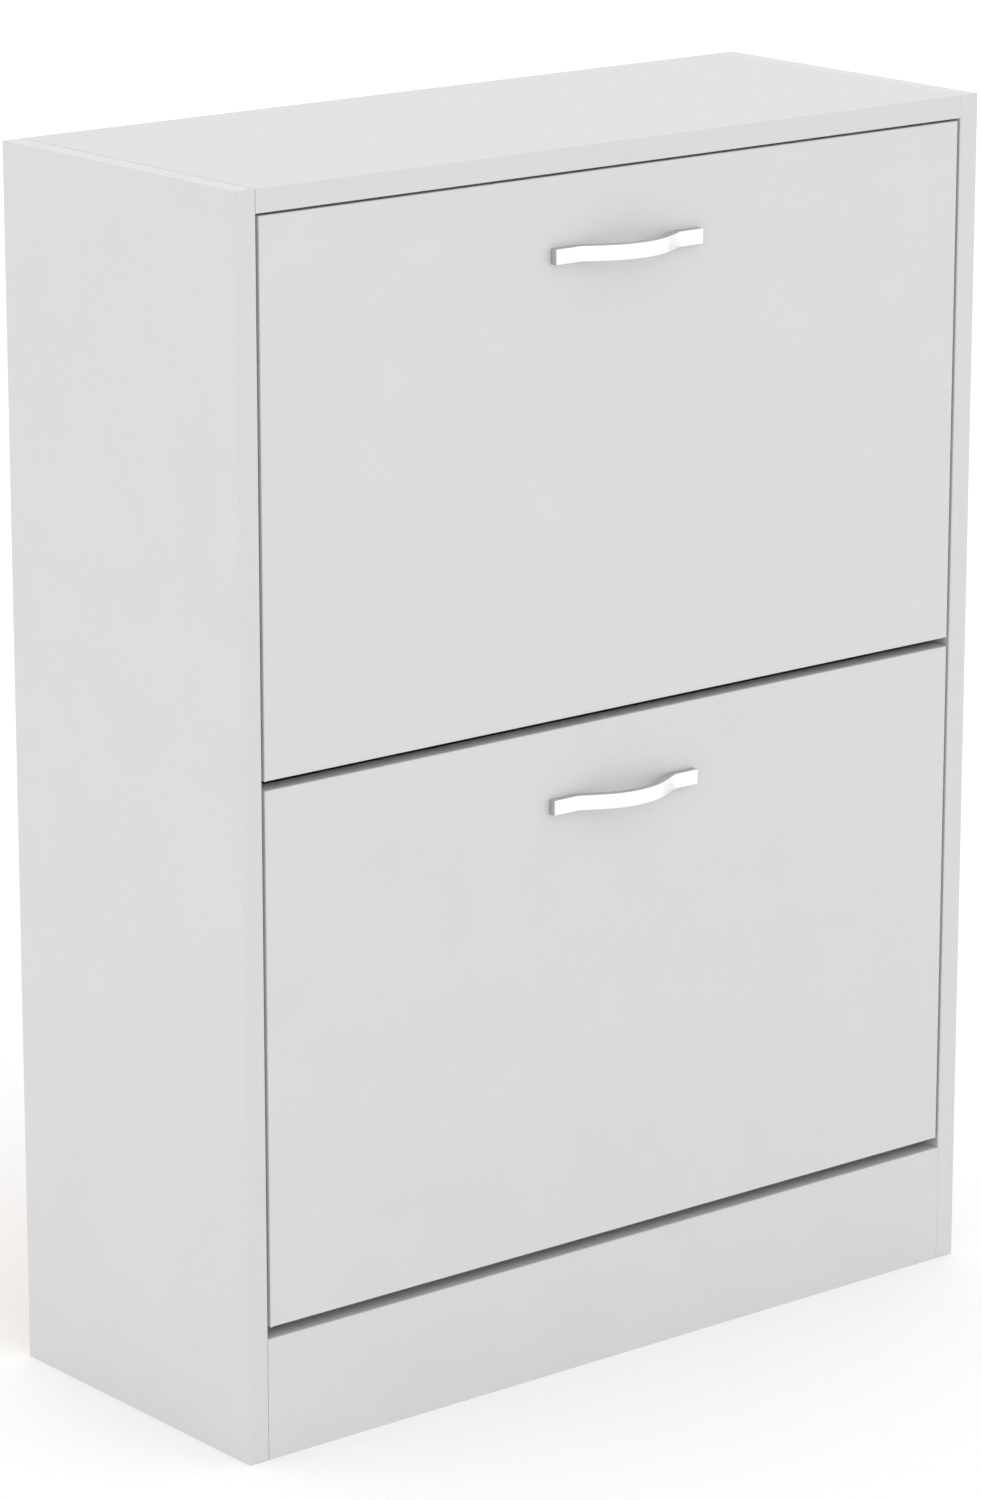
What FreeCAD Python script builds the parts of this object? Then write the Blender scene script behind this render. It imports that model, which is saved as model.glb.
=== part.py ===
"""Shoe cabinet with two tip-out doors, each the front of a bucket with two rows for shoes.

Frame: +Z up, the front looks along -Y, +X to the right as seen from the front.
The origin is on the floor, at the middle of the outside box, handles included.
"""
import FreeCAD, Part
import math
import os
import re

import Sketcher

# Driving dimensions, in millimetres and degrees: name, value, what it is.
SIZES = (
    ("width", 600, "outside width of the carcass"),
    ("depth", 240, "outside depth of the carcass"),
    ("height", 800, "outside height of the carcass"),
    ("board", 15, "thickness of every chipboard panel"),
    ("band", 1, "thickness of the edge bands"),
    ("band_round", 0.8, "rounding of an edge band's outer edges"),
    ("fit", 0.1, "clearance of a glued or screwed piece in its hole"),
    ("plinth_height", 80, "top of the plinth and of the bottom panel"),
    ("plinth_gap", 7.5, "gap under the lower door"),
    ("door_gap", 6, "gap between the doors"),
    ("top_gap", 1.5, "gap over the upper door"),
    ("side_gap", 2.3, "gap beside each door"),
    ("shelf_setback", 55, "middle shelf's front edge behind the carcass front"),
    ("back_sheet", 3, "thickness of the back panel"),
    ("back_inset", 10, "back panel's rear face in front of the carcass rear"),
    ("groove_depth", 5, "depth of the back panel's grooves"),
    ("cam_inset", 37, "cam lock from a board's front edge or the back panel"),
    ("dowel_inset", 69, "dowel from a board's front edge or the back panel"),
    ("plinth_dowel_inset", 16, "dowel from the plinth's lower and upper edge"),
    ("cam_reach", 34, "cam lock's axis from the end of its board"),
    ("cam_radius", 7.5, "cam lock"),
    ("cam_beyond", 5, "cam lock's inner end beyond the axis of its bolt"),
    ("cross_width", 1.6, "cross recess of a cam lock or screw"),
    ("cross_depth", 1.2, "cross recess of a cam lock or screw"),
    ("bolt_thread_radius", 2.5, "cam bolt's thread in the side panel"),
    ("bolt_shaft_radius", 3, "cam bolt's shaft"),
    ("bolt_head_radius", 3.6, "cam bolt's head"),
    ("bolt_head_length", 4, "cam bolt's head"),
    ("bolt_bore_radius", 4, "cam bolt's bore in the end of a board"),
    ("dowel_radius", 4, "wooden dowel"),
    ("dowel_length", 35, "wooden dowel"),
    ("side_hole_depth", 11, "holes in the side panels"),
    ("nail_radius", 0.8, "back panel nail"),
    ("nail_length", 20, "back panel nail"),
    ("nail_head_radius", 2.2, "back panel nail"),
    ("nail_head_height", 0.8, "back panel nail"),
    ("nail_pitch", 120, "distance between back panel nails"),
    ("wall_spacing", 400, "distance between the wall brackets' holes"),
    ("wall_hole_radius", 3, "hole for a wall screw"),
    ("angle_width", 30, "wall bracket along the wall"),
    ("angle_leg", 25, "each leg of a wall bracket"),
    ("angle_sheet", 1.5, "steel of a wall bracket"),
    ("pivot_clear", 5.5, "pivot axis behind the door's rear face"),
    ("pivot_above", 45, "pivot axis above the door's lower edge"),
    ("pin_radius", 4, "pivot pins and stop pins"),
    ("running_gap", 0.08, "radial clearance of a pivot pin in its boss"),
    ("boss_radius", 8, "boss round the pivot pin"),
    ("boss_length", 11, "boss round the pivot pin"),
    ("tip_angle", 48, "travel of a door"),
    ("stop_radius", 120, "stop pin from the pivot"),
    ("stop_angle", 10, "stop pin behind the vertical through the pivot"),
    ("stop_gap", 0.3, "clearance of the stop pin in its slot"),
    ("web_inset", 1.7, "bracket's outer face in from the door's edge"),
    ("web", 3, "thickness of a bracket's web"),
    ("web_rim", 9, "web below a bucket floor"),
    ("web_back_rim", 3.5, "web behind the rear board"),
    ("web_round", 8, "rounding of the web's corners"),
    ("web_rear_height", 120, "web's rear edge above the pivot"),
    ("web_middle_height", 168, "web above the pivot, behind the divider"),
    ("web_top_depth", 25, "web's top edge behind the pivot"),
    ("flange", 3, "thickness of a bracket's flange"),
    ("flange_width", 31, "flange along the door"),
    ("flange_margin", 38, "flange's end below the door's top edge"),
    ("flange_screw_in", 21, "flange screws in from the web's outer face"),
    ("flange_screw_low", 10, "lowest flange screw above the pivot"),
    ("rib", 2, "thickness of a rib that holds a bucket board"),
    ("rib_reach", 6, "rib inwards from the web"),
    ("rib_gap", 0.15, "clearance between a rib and its board"),
    ("sheet", 4, "thickness of the bucket boards"),
    ("sheet_end_gap", 0.2, "bucket board's end from the web"),
    ("floor_height", 22, "front floor above the door's lower edge"),
    ("floor_step", 18, "rear floor above the front floor"),
    ("front_pocket", 87, "door's rear face to the divider"),
    ("divider_height", 169, "divider above the front floor"),
    ("bucket_gap", 12, "rear board in front of the back panel"),
    ("swing_gap", 5, "rear board's swing below the board above it"),
    ("handle_length", 120, "handle along the door"),
    ("handle_height", 10, "handle's strip"),
    ("handle_reach", 19.5, "handle in front of the door"),
    ("handle_thick", 5.4, "handle's strip"),
    ("handle_foot", 18, "flat foot at each end of the handle"),
    ("handle_bend", 6, "radius of the bend between a foot and its flank, at its front"),
    ("handle_slope", 27.5, "slope of the handle's straight flanks to the door"),
    ("handle_drop", 49.5, "handle's middle below the door's top edge"),
    ("handle_round", 0.7, "rounding of the handle's long edges"),
    ("handle_spacing", 96, "distance between the handle's screws"),
    ("handle_hole_depth", 4, "threaded hole in the handle's foot"),
    ("handle_screw_radius", 2, "handle screw"),
    ("handle_bore_radius", 2.25, "handle screw's bore in the door"),
    ("wood_screw_radius", 1.75, "screws of the brackets"),
    ("wood_screw_length", 10, "screws of the brackets, inside the board"),
    ("screw_head_radius", 3.6, "pan head of every screw"),
    ("screw_head_height", 2.4, "pan head of every screw"),
    ("screw_head_edge", 0.9, "straight edge of a pan head"),
)

# Places and sizes worked out from the driving dimensions.
PLACES = (
    ("front", "-(depth - handle_reach) / 2"),
    ("rear", "front + depth"),
    ("side_out", "width / 2"),
    ("side_in", "side_out - board"),
    ("top_under", "height - board"),
    ("back_rear", "rear - back_inset"),
    ("back_face", "back_rear - back_sheet"),
    ("floor_under", "plinth_height - board"),
    ("cam_height", "board / 2 + cam_beyond"),
    ("door_half", "side_in - side_gap"),
    ("door_back", "front + board"),
    ("lower_base", "plinth_height + plinth_gap"),
    ("door_height", "(top_under - top_gap - door_gap - lower_base) / 2"),
    ("upper_base", "lower_base + door_height + door_gap"),
    ("shelf_middle", "upper_base - door_gap / 2"),
    ("shelf_front", "front + shelf_setback"),
    ("wall_hole_level", "top_under - angle_leg / 2"),
    ("pivot_y", "door_back + pivot_clear"),
    ("web_out", "door_half - web_inset"),
    ("web_in", "web_out - web"),
    ("slot_half", "pin_radius + stop_gap"),
    ("stop_y", "stop_radius * sin(stop_angle)"),
    ("stop_z", "stop_radius * cos(stop_angle)"),
    # From here on, places on a door are counted from its pivot axis.
    ("back_y", "-pivot_clear"),
    ("flange_y", "back_y + flange"),
    ("floor_z", "floor_height - pivot_above"),
    ("rear_floor_z", "floor_z + floor_step"),
    ("divider_y", "back_y + front_pocket"),
    ("divider_rear_y", "divider_y + sheet"),
    ("divider_top", "floor_z + sheet + divider_height"),
    ("bucket_y", "back_face - bucket_gap - pivot_y"),
    ("rear_board_y", "bucket_y - sheet"),
    ("swing", "door_height + door_gap / 2 - board / 2 - pivot_above - swing_gap"),
    ("rear_board_top", "sqrt(swing * swing - bucket_y * bucket_y)"),
    ("flange_base", "floor_z - web_rim"),
    ("flange_top", "door_height - pivot_above - flange_margin"),
    ("flange_screw_pitch", "(flange_top - 2 * flange_screw_low) / 3"),
    ("handle_z", "door_height - pivot_above - handle_drop"),
    # The handle: a bend rises from each foot to a straight flank, and one bow joins the flanks.
    # The bow's radius is the one that makes it tangent to both flanks at the handle's reach.
    ("foot_x", "handle_length / 2 - handle_foot"),
    ("slope_sin", "sin(handle_slope)"),
    ("slope_cos", "cos(handle_slope)"),
    ("flank_rise", "foot_x * slope_sin - (handle_reach - handle_thick) * slope_cos"),
    ("bow_radius", "flank_rise / (1 - slope_cos) - handle_bend"),
    ("bow_centre", "bow_radius - handle_reach"),
    ("bend_centre", "-handle_thick - handle_bend"),
)

SIZE_NAMES = {name for name, _, _ in SIZES}
PLACE_NAMES = {name for name, _ in PLACES}
WORD = re.compile(r"[a-z][a-z_]*")
TINY = 1e-6

DOC = FreeCAD.newDocument("shoe_cabinet")
NODES = []


def cells(formula):
    """Write a formula's names as references to the two sheets."""
    def reference(match):
        word = match.group(0)
        if word in SIZE_NAMES:
            return "sizes." + word
        if word in PLACE_NAMES:
            return "places." + word
        return word
    return WORD.sub(reference, str(formula))


def fill_sheets():
    """Put the driving dimensions in one sheet and what follows from them in another."""
    sizes = DOC.addObject("Spreadsheet::Sheet", "sizes")
    for row, (name, number, note) in enumerate(SIZES, 1):
        sizes.set("A%d" % row, name)
        sizes.set("B%d" % row, str(number))
        sizes.set("C%d" % row, note)
        sizes.setAlias("B%d" % row, name)
    places = DOC.addObject("Spreadsheet::Sheet", "places")
    for row, (name, formula) in enumerate(PLACES, 1):
        places.set("A%d" % row, name)
        places.setAlias("B%d" % row, name)
    for row, (name, formula) in enumerate(PLACES, 1):
        own = cells(formula).replace("places.", "")
        places.set("B%d" % row, "=" + own)
    DOC.recompute()


def number(formula):
    """Work out a formula's present number."""
    return float(DOC.getObject("sizes").evalExpression(cells(formula)))


def bind(item, setting, formula):
    """Tie one setting of an object to the sheets."""
    item.setExpression(setting, cells(formula))


def put(item, x, y, z):
    """Tie an object's position to the sheets."""
    for axis, formula in zip("xyz", (x, y, z)):
        bind(item, "Placement.Base." + axis, formula)


def node(label, item):
    """Name a finished sub-part and list it for writing."""
    item.Label = label
    NODES.append(item)
    return item


# ---------------------------------------------------------------- solids

def box(name, low, high):
    """Make a box between two corners."""
    item = DOC.addObject("Part::Box", name)
    for setting, start, end in zip(("Length", "Width", "Height"), low, high):
        bind(item, setting, "(%s) - (%s)" % (end, start))
    put(item, *low)
    return item


def rod(name, start, direction, radius, length):
    """Make a cylinder from a start point along a direction."""
    item = DOC.addObject("Part::Cylinder", name)
    turn = FreeCAD.Rotation(FreeCAD.Vector(0, 0, 1), FreeCAD.Vector(*direction))
    item.Placement = FreeCAD.Placement(FreeCAD.Vector(), turn)
    bind(item, "Radius", radius)
    bind(item, "Height", length)
    put(item, *start)
    return item


def group(name, items):
    """Put several solids together without joining them."""
    item = DOC.addObject("Part::Compound", name)
    item.Links = items
    return item


def mirrored(name, source):
    """Make the right-hand copy of a left-hand object."""
    item = DOC.addObject("Part::Mirroring", name)
    item.Source = source
    item.Normal = FreeCAD.Vector(1, 0, 0)
    return item


def both_sides(name, items):
    """Group left-hand solids with their right-hand copies."""
    left = group(name + "_left", items)
    return group(name, [left, mirrored(name + "_right", left)])


def cut(name, base, *tools):
    """Take tools away from a base, one after another."""
    for step, tool in enumerate(tools, 1):
        item = DOC.addObject("Part::Cut", "%s_cut%d" % (name, step))
        item.Base = base
        item.Tool = tool
        base = item
    return base


def strip(name, low, high, outward, run):
    """Make an edge band whose two long outer edges are rounded."""
    blank = box(name + "_blank", low, high)
    DOC.recompute([blank])
    outward = FreeCAD.Vector(*outward)
    run = FreeCAD.Vector(*run)
    reach = max(edge.CenterOfMass.dot(outward) for edge in blank.Shape.Edges)
    radius = number("band_round")
    item = DOC.addObject("Part::Fillet", name)
    item.Base = blank
    item.Edges = [
        (index, radius, radius)
        for index, edge in enumerate(blank.Shape.Edges, 1)
        if abs(edge.CenterOfMass.dot(outward) - reach) < TINY
        and abs(edge.tangentAt(edge.FirstParameter).dot(run)) > 1 - TINY
    ]
    return item


# ---------------------------------------------------------------- sketches

def sketch_on(body, name, role):
    """Start a sketch on one of a body's own origin planes."""
    sketch = body.newObject("Sketcher::SketchObject", name)
    plane = [item for item in body.Origin.OriginFeatures if item.Role == role][0]
    sketch.AttachmentSupport = [(plane, "")]
    sketch.MapMode = "FlatFace"
    return sketch


def hold_point(sketch, shape, spot, x, y):
    """Tie one point of a sketch to formulas for its two coordinates."""
    for kind, formula in (("DistanceX", x), ("DistanceY", y)):
        value = number(formula)
        index = sketch.addConstraint(Sketcher.Constraint(kind, -1, 1, shape, spot, value))
        bind(sketch, "Constraints[%d]" % index, formula)


def arc_between(start, end, radius, turn):
    """Make the shorter arc from start to end; turn is 1 for anticlockwise, -1 for clockwise."""
    chord = end - start
    middle = (start + end) / 2
    off = math.sqrt(max(radius ** 2 - (chord.Length / 2) ** 2, 0))
    across = FreeCAD.Vector(-chord.y, chord.x, 0).normalize()
    centre = middle + across * off * turn
    first, last = (start, end) if turn > 0 else (end, start)
    angles = [math.atan2(point.y - centre.y, point.x - centre.x) for point in (first, last)]
    circle = Part.Circle(centre, FreeCAD.Vector(0, 0, 1), radius)
    return Part.ArcOfCircle(circle, angles[0], angles[1])


def outline(sketch, corners):
    """Draw a closed outline.

    Each corner is (x, y) when a straight line leaves it, or (x, y, radius, turn) when an
    arc does. Every corner is held by its coordinates, and every arc by its radius.
    """
    points = [FreeCAD.Vector(number(corner[0]), number(corner[1]), 0) for corner in corners]
    first_shape = sketch.GeometryCount
    starts = []
    for index, corner in enumerate(corners):
        start = points[index]
        end = points[(index + 1) % len(points)]
        if len(corner) == 2:
            sketch.addGeometry(Part.LineSegment(start, end), False)
            starts.append((1, 2))
        else:
            sketch.addGeometry(arc_between(start, end, number(corner[2]), corner[3]), False)
            starts.append((1, 2) if corner[3] > 0 else (2, 1))
    for index, corner in enumerate(corners):
        after = (index + 1) % len(corners)
        shape = first_shape + index
        next_shape = first_shape + after
        sketch.addConstraint(
            Sketcher.Constraint("Coincident", shape, starts[index][1], next_shape, starts[after][0]))
        hold_point(sketch, shape, starts[index][0], corner[0], corner[1])
        if len(corner) == 4:
            held = sketch.addConstraint(Sketcher.Constraint("Radius", shape, number(corner[2])))
            bind(sketch, "Constraints[%d]" % held, corner[2])


def rectangle(sketch, low, high):
    """Draw a rectangle between two corners."""
    outline(sketch, [low, (high[0], low[1]), high, (low[0], high[1])])


def circle(sketch, x, y, radius):
    """Draw a circle."""
    centre = FreeCAD.Vector(number(x), number(y), 0)
    up = FreeCAD.Vector(0, 0, 1)
    shape = sketch.addGeometry(Part.Circle(centre, up, number(radius)), False)
    hold_point(sketch, shape, 3, x, y)
    held = sketch.addConstraint(Sketcher.Constraint("Radius", shape, number(radius)))
    bind(sketch, "Constraints[%d]" % held, radius)


def pad(body, name, sketch, length, side="One side"):
    """Raise a sketch into a solid."""
    item = body.newObject("PartDesign::Pad", name)
    item.Profile = sketch
    item.SideType = side
    bind(item, "Length", length)
    return item


def pocket(body, name, sketch, length, reverse):
    """Sink a sketch into the solid, and make sure that it cuts."""
    DOC.recompute()
    before = body.Shape.Volume
    item = body.newObject("PartDesign::Pocket", name)
    item.Profile = sketch
    item.Reversed = reverse
    bind(item, "Length", length)
    DOC.recompute()
    if body.Shape.Volume > before - TINY:
        raise RuntimeError("%s cuts nothing from %s" % (name, body.Name))
    return item


def round_edges(body, name, radius, wanted):
    """Round the edges of a body that the test picks."""
    DOC.recompute()
    base = body.Tip
    picked = ["Edge%d" % i for i, edge in enumerate(body.Shape.Edges, 1) if wanted(edge)]
    item = body.newObject("PartDesign::Fillet", name)
    item.Base = (base, picked)
    bind(item, "Radius", radius)
    return item


# ---------------------------------------------------------------- fasteners

def pan_screw(name, seat, direction, radius, length):
    """Make a cross-head screw: seat is under its head, direction points out of the head."""
    body = DOC.addObject("PartDesign::Body", name)
    profile = sketch_on(body, name + "_profile", "XZ_Plane")
    dome = "(screw_head_radius * screw_head_radius" \
           " + (screw_head_height - screw_head_edge) * (screw_head_height - screw_head_edge))" \
           " / (2 * (screw_head_height - screw_head_edge))"
    outline(profile, [
        (0, "-(%s)" % length),
        (radius, "-(%s)" % length),
        (radius, 0),
        ("screw_head_radius", 0),
        ("screw_head_radius", "screw_head_edge", dome, 1),
        (0, "screw_head_height"),
    ])
    turned = body.newObject("PartDesign::Revolution", name + "_turned")
    turned.Profile = profile
    turned.ReferenceAxis = (profile, ["V_Axis"])
    turned.Angle = 360
    for tag, half_x, half_y in (("a", "cross_width / 2", "screw_head_radius / 2"),
                                ("b", "screw_head_radius / 2", "cross_width / 2")):
        recess = sketch_on(body, "%s_cross_%s" % (name, tag), "XY_Plane")
        bind(recess, "AttachmentOffset.Base.z", "screw_head_height - cross_depth")
        rectangle(recess, ("-(%s)" % half_x, "-(%s)" % half_y), (half_x, half_y))
        pocket(body, "%s_recess_%s" % (name, tag), recess, "cross_depth", True)
    turn = FreeCAD.Rotation(FreeCAD.Vector(0, 0, 1), FreeCAD.Vector(*direction))
    body.Placement = FreeCAD.Placement(FreeCAD.Vector(), turn)
    put(body, *seat)
    return body


def end_joints():
    """List the joints of each board's left end: board, kind, y and z."""
    joints = []
    for board, edge, level in (("top_panel", "front", "height - board / 2"),
                               ("middle_shelf", "shelf_front", "shelf_middle"),
                               ("bottom_panel", "door_back", "plinth_height - board / 2")):
        for kind in ("cam", "dowel"):
            joints.append((board, kind, "%s + %s_inset" % (edge, kind), level))
            joints.append((board, kind, "back_face - %s_inset" % kind, level))
    middle = "front + board / 2"
    joints.append(("plinth", "cam", middle, "plinth_height / 2"))
    joints.append(("plinth", "dowel", middle, "plinth_dowel_inset"))
    joints.append(("plinth", "dowel", middle, "plinth_height - plinth_dowel_inset"))
    return joints


def joints_of(board, kind):
    """List the places of one board's joints of one kind, at its left end."""
    return [(y, z) for owner, sort, y, z in end_joints() if owner == board and sort == kind]


def cam_start(board, y, z):
    """Say where a cam lock's open face lies and which way the lock goes in."""
    x = "cam_reach - side_in"
    if board == "plinth":
        return (x, "door_back", z), (0, -1, 0)
    return (x, y, "%s - board / 2" % z), (0, 0, 1)


def end_bores(board):
    """Make the tools that bore a board's two ends: for dowels and bolts, then for cams."""
    narrow = []
    wide = []
    for index, (y, z) in enumerate(joints_of(board, "dowel")):
        narrow.append(rod("%s_dowel_bore%d" % (board, index), ("-side_in", y, z), (1, 0, 0),
                          "dowel_radius + fit", "dowel_length - side_hole_depth + fit"))
    for index, (y, z) in enumerate(joints_of(board, "cam")):
        narrow.append(rod("%s_bolt_bore%d" % (board, index), ("-side_in", y, z), (1, 0, 0),
                          "bolt_bore_radius", "cam_reach"))
        start, direction = cam_start(board, y, z)
        wide.append(rod("%s_cam_bore%d" % (board, index), start, direction,
                        "cam_radius", "cam_height"))
    return both_sides(board + "_end_bores", narrow), both_sides(board + "_cam_bores", wide)


def cam_lock(name, board, y, z):
    """Make one cam lock, with the opening that the bolt's head enters and a cross recess."""
    (x, face_y, face_z), direction = cam_start(board, y, z)
    drum = rod(name + "_drum", (x, face_y, face_z), direction,
               "cam_radius - fit", "cam_height - fit")
    room = "bolt_head_radius + 3 * fit"
    mouth = box(name + "_mouth",
                ("%s - cam_radius" % x, "%s - (%s)" % (y, room), "%s - (%s)" % (z, room)),
                ("%s + (%s)" % (x, room), "%s + (%s)" % (y, room), "%s + (%s)" % (z, room)))
    arms = []
    for tag, half_x, half_side in (("a", "cam_radius * 0.6", "cross_width / 2"),
                                   ("b", "cross_width / 2", "cam_radius * 0.6")):
        if board == "plinth":
            low = ("%s - %s" % (x, half_x), "%s - cross_depth" % face_y, "%s - %s" % (z, half_side))
            high = ("%s + %s" % (x, half_x), face_y, "%s + %s" % (z, half_side))
        else:
            low = ("%s - %s" % (x, half_x), "%s - %s" % (y, half_side), face_z)
            high = ("%s + %s" % (x, half_x), "%s + %s" % (y, half_side), "%s + cross_depth" % face_z)
        arms.append(box("%s_arm_%s" % (name, tag), low, high))
    return cut(name, drum, mouth, *arms)


def cam_bolt(name, y, z):
    """Make one cam bolt: thread in the side panel, shaft and head in the board's end."""
    body = DOC.addObject("PartDesign::Body", name)
    profile = sketch_on(body, name + "_profile", "XY_Plane")
    head_end = "cam_reach + bolt_head_length / 2"
    head_start = "cam_reach - bolt_head_length / 2"
    outline(profile, [
        ("-(side_hole_depth - fit)", 0),
        (head_end, 0),
        (head_end, "bolt_head_radius"),
        (head_start, "bolt_head_radius"),
        (head_start, "bolt_shaft_radius"),
        (0, "bolt_shaft_radius"),
        (0, "bolt_thread_radius"),
        ("-(side_hole_depth - fit)", "bolt_thread_radius"),
    ])
    turned = body.newObject("PartDesign::Revolution", name + "_turned")
    turned.Profile = profile
    turned.ReferenceAxis = (profile, ["H_Axis"])
    turned.Angle = 360
    put(body, "-side_in", y, z)
    return body


def carcass_fasteners():
    """Make the cam locks, cam bolts and dowels that join the boards to the side panels."""
    locks = []
    bolts = []
    dowels = []
    for index, (board, kind, y, z) in enumerate(end_joints()):
        if kind == "cam":
            locks.append(cam_lock("cam_lock%d" % index, board, y, z))
            bolts.append(cam_bolt("cam_bolt%d" % index, y, z))
        else:
            dowels.append(rod("dowel%d" % index, ("-side_in - side_hole_depth + fit", y, z),
                              (1, 0, 0), "dowel_radius", "dowel_length - fit"))
    node("cam_locks", both_sides("locks", locks))
    node("cam_bolts", both_sides("bolts", bolts))
    node("wooden_dowels", both_sides("dowels", dowels))


# ---------------------------------------------------------------- carcass

def side_holes():
    """Make the tools that bore the left side panel for bolts, dowels and pins."""
    holes = []
    for index, (board, kind, y, z) in enumerate(end_joints()):
        radius = "bolt_thread_radius" if kind == "cam" else "dowel_radius"
        holes.append(rod("side_hole%d" % index, ("-side_in", y, z), (-1, 0, 0),
                         radius + " + fit", "side_hole_depth"))
    for door, base in DOORS:
        level = "%s + pivot_above" % base
        for pin, y, z in (("pivot", "pivot_y", level),
                          ("stop", "pivot_y + stop_y", level + " + stop_z")):
            holes.append(rod("%s_%s_hole" % (door, pin), ("-side_in", y, z), (-1, 0, 0),
                             "pin_radius + fit", "side_hole_depth"))
    return group("side_holes", holes)


def side_panels():
    """Make both side panels, grooved for the back panel."""
    blank = box("side_blank", ("-side_out", "front + band", 0),
                ("-side_in", "rear", "height - band"))
    groove = box("side_groove", ("-side_in - groove_depth", "back_face - fit", 0),
                 ("-side_in", "back_rear + fit", "height - band"))
    left = node("left_side_panel", cut("side", blank, groove, side_holes()))
    node("right_side_panel", mirrored("right_side", left))


def top_panel():
    """Make the top panel, grooved underneath for the back panel."""
    blank = box("top_blank", ("-side_in", "front + band", "top_under"),
                ("side_in", "rear", "height"))
    groove = box("top_groove", ("-side_in", "back_face - fit", "top_under"),
                 ("side_in", "back_rear + fit", "top_under + groove_depth"))
    pilots = rod("wall_bracket_pilot", ("-wall_spacing / 2", "back_face - angle_leg / 2", "top_under"),
                 (0, 0, 1), "wood_screw_radius + fit", "wood_screw_length")
    pilots = both_sides("wall_bracket_pilots", [pilots])
    node("top_panel", cut("top", blank, groove, *end_bores("top_panel"), pilots))


def nail_places():
    """List the back panel nails: x and z."""
    return [("%d * nail_pitch" % step, level)
            for level in ("shelf_middle", "plinth_height - board / 2")
            for step in (-2, -1, 0, 1, 2)]


def nail_bores(name):
    """Make the tool that bores a board or the back panel for its nails."""
    reach = "nail_length + fit"
    return group(name, [
        rod("%s%d" % (name, index), (x, "back_rear", z), (0, -1, 0), "nail_radius + fit / 2", reach)
        for index, (x, z) in enumerate(nail_places())])


def inner_boards():
    """Make the bottom panel and the middle shelf."""
    bottom = box("bottom_blank", ("-side_in", "door_back", "floor_under"),
                 ("side_in", "back_face", "plinth_height"))
    node("bottom_panel", cut("bottom", bottom, *end_bores("bottom_panel"),
                             nail_bores("bottom_nail_bore")))
    shelf = box("shelf_blank", ("-side_in", "shelf_front + band", "shelf_middle - board / 2"),
                ("side_in", "back_face", "shelf_middle + board / 2"))
    node("middle_shelf", cut("shelf", shelf, *end_bores("middle_shelf"),
                             nail_bores("shelf_nail_bore")))


def plinth():
    """Make the plinth between the side panels."""
    blank = box("plinth_blank", ("-side_in", "front", 0),
                ("side_in", "door_back", "plinth_height - band"))
    node("plinth", cut("plinth", blank, *end_bores("plinth")))


def back_panel():
    """Make the back panel, with its nail bores and the holes for the wall screws."""
    edge = "side_in + groove_depth - fit"
    blank = box("back_blank", ("-(%s)" % edge, "back_face", "floor_under"),
                (edge, "back_rear", "top_under + groove_depth - fit"))
    wall_hole = rod("back_wall_hole", ("-wall_spacing / 2", "back_face", "wall_hole_level"),
                    (0, 1, 0), "wall_hole_radius", "back_sheet")
    node("back_panel", cut("back", blank, nail_bores("back_nail_bore"),
                           both_sides("back_wall_holes", [wall_hole])))


def back_panel_nails():
    """Make the nails that hold the back panel to the shelf and the bottom panel."""
    nails = []
    for index, (x, z) in enumerate(nail_places()):
        shank = rod("nail_shank%d" % index, (x, "back_rear", z), (0, -1, 0),
                    "nail_radius", "nail_length")
        head = rod("nail_head%d" % index, (x, "back_rear", z), (0, 1, 0),
                   "nail_head_radius", "nail_head_height")
        nail = DOC.addObject("Part::MultiFuse", "nail%d" % index)
        nail.Shapes = [shank, head]
        nails.append(nail)
    node("back_panel_nails", group("nails", nails))


def carcass_bands():
    """Make the edge bands of the side panels, top panel, plinth and shelf."""
    side_front = strip("side_front_band", ("-side_out", "front", 0),
                       ("-side_in", "front + band", "height"), (0, -1, 0), (0, 0, 1))
    side_top = strip("side_top_band", ("-side_out", "front + band", "height - band"),
                     ("-side_in", "rear", "height"), (0, 0, 1), (0, 1, 0))
    top_front = strip("top_front_band", ("-side_in", "front", "top_under"),
                      ("side_in", "front + band", "height"), (0, -1, 0), (1, 0, 0))
    plinth_top = strip("plinth_top_band", ("-side_in", "front", "plinth_height - band"),
                       ("side_in", "door_back", "plinth_height"), (0, 0, 1), (1, 0, 0))
    shelf_edge = strip("shelf_front_band", ("-side_in", "shelf_front", "shelf_middle - board / 2"),
                       ("side_in", "shelf_front + band", "shelf_middle + board / 2"),
                       (0, -1, 0), (1, 0, 0))
    sides = both_sides("side_bands", [side_front, side_top])
    node("carcass_edge_bands", group("bands", [sides, top_front, plinth_top, shelf_edge]))


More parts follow.
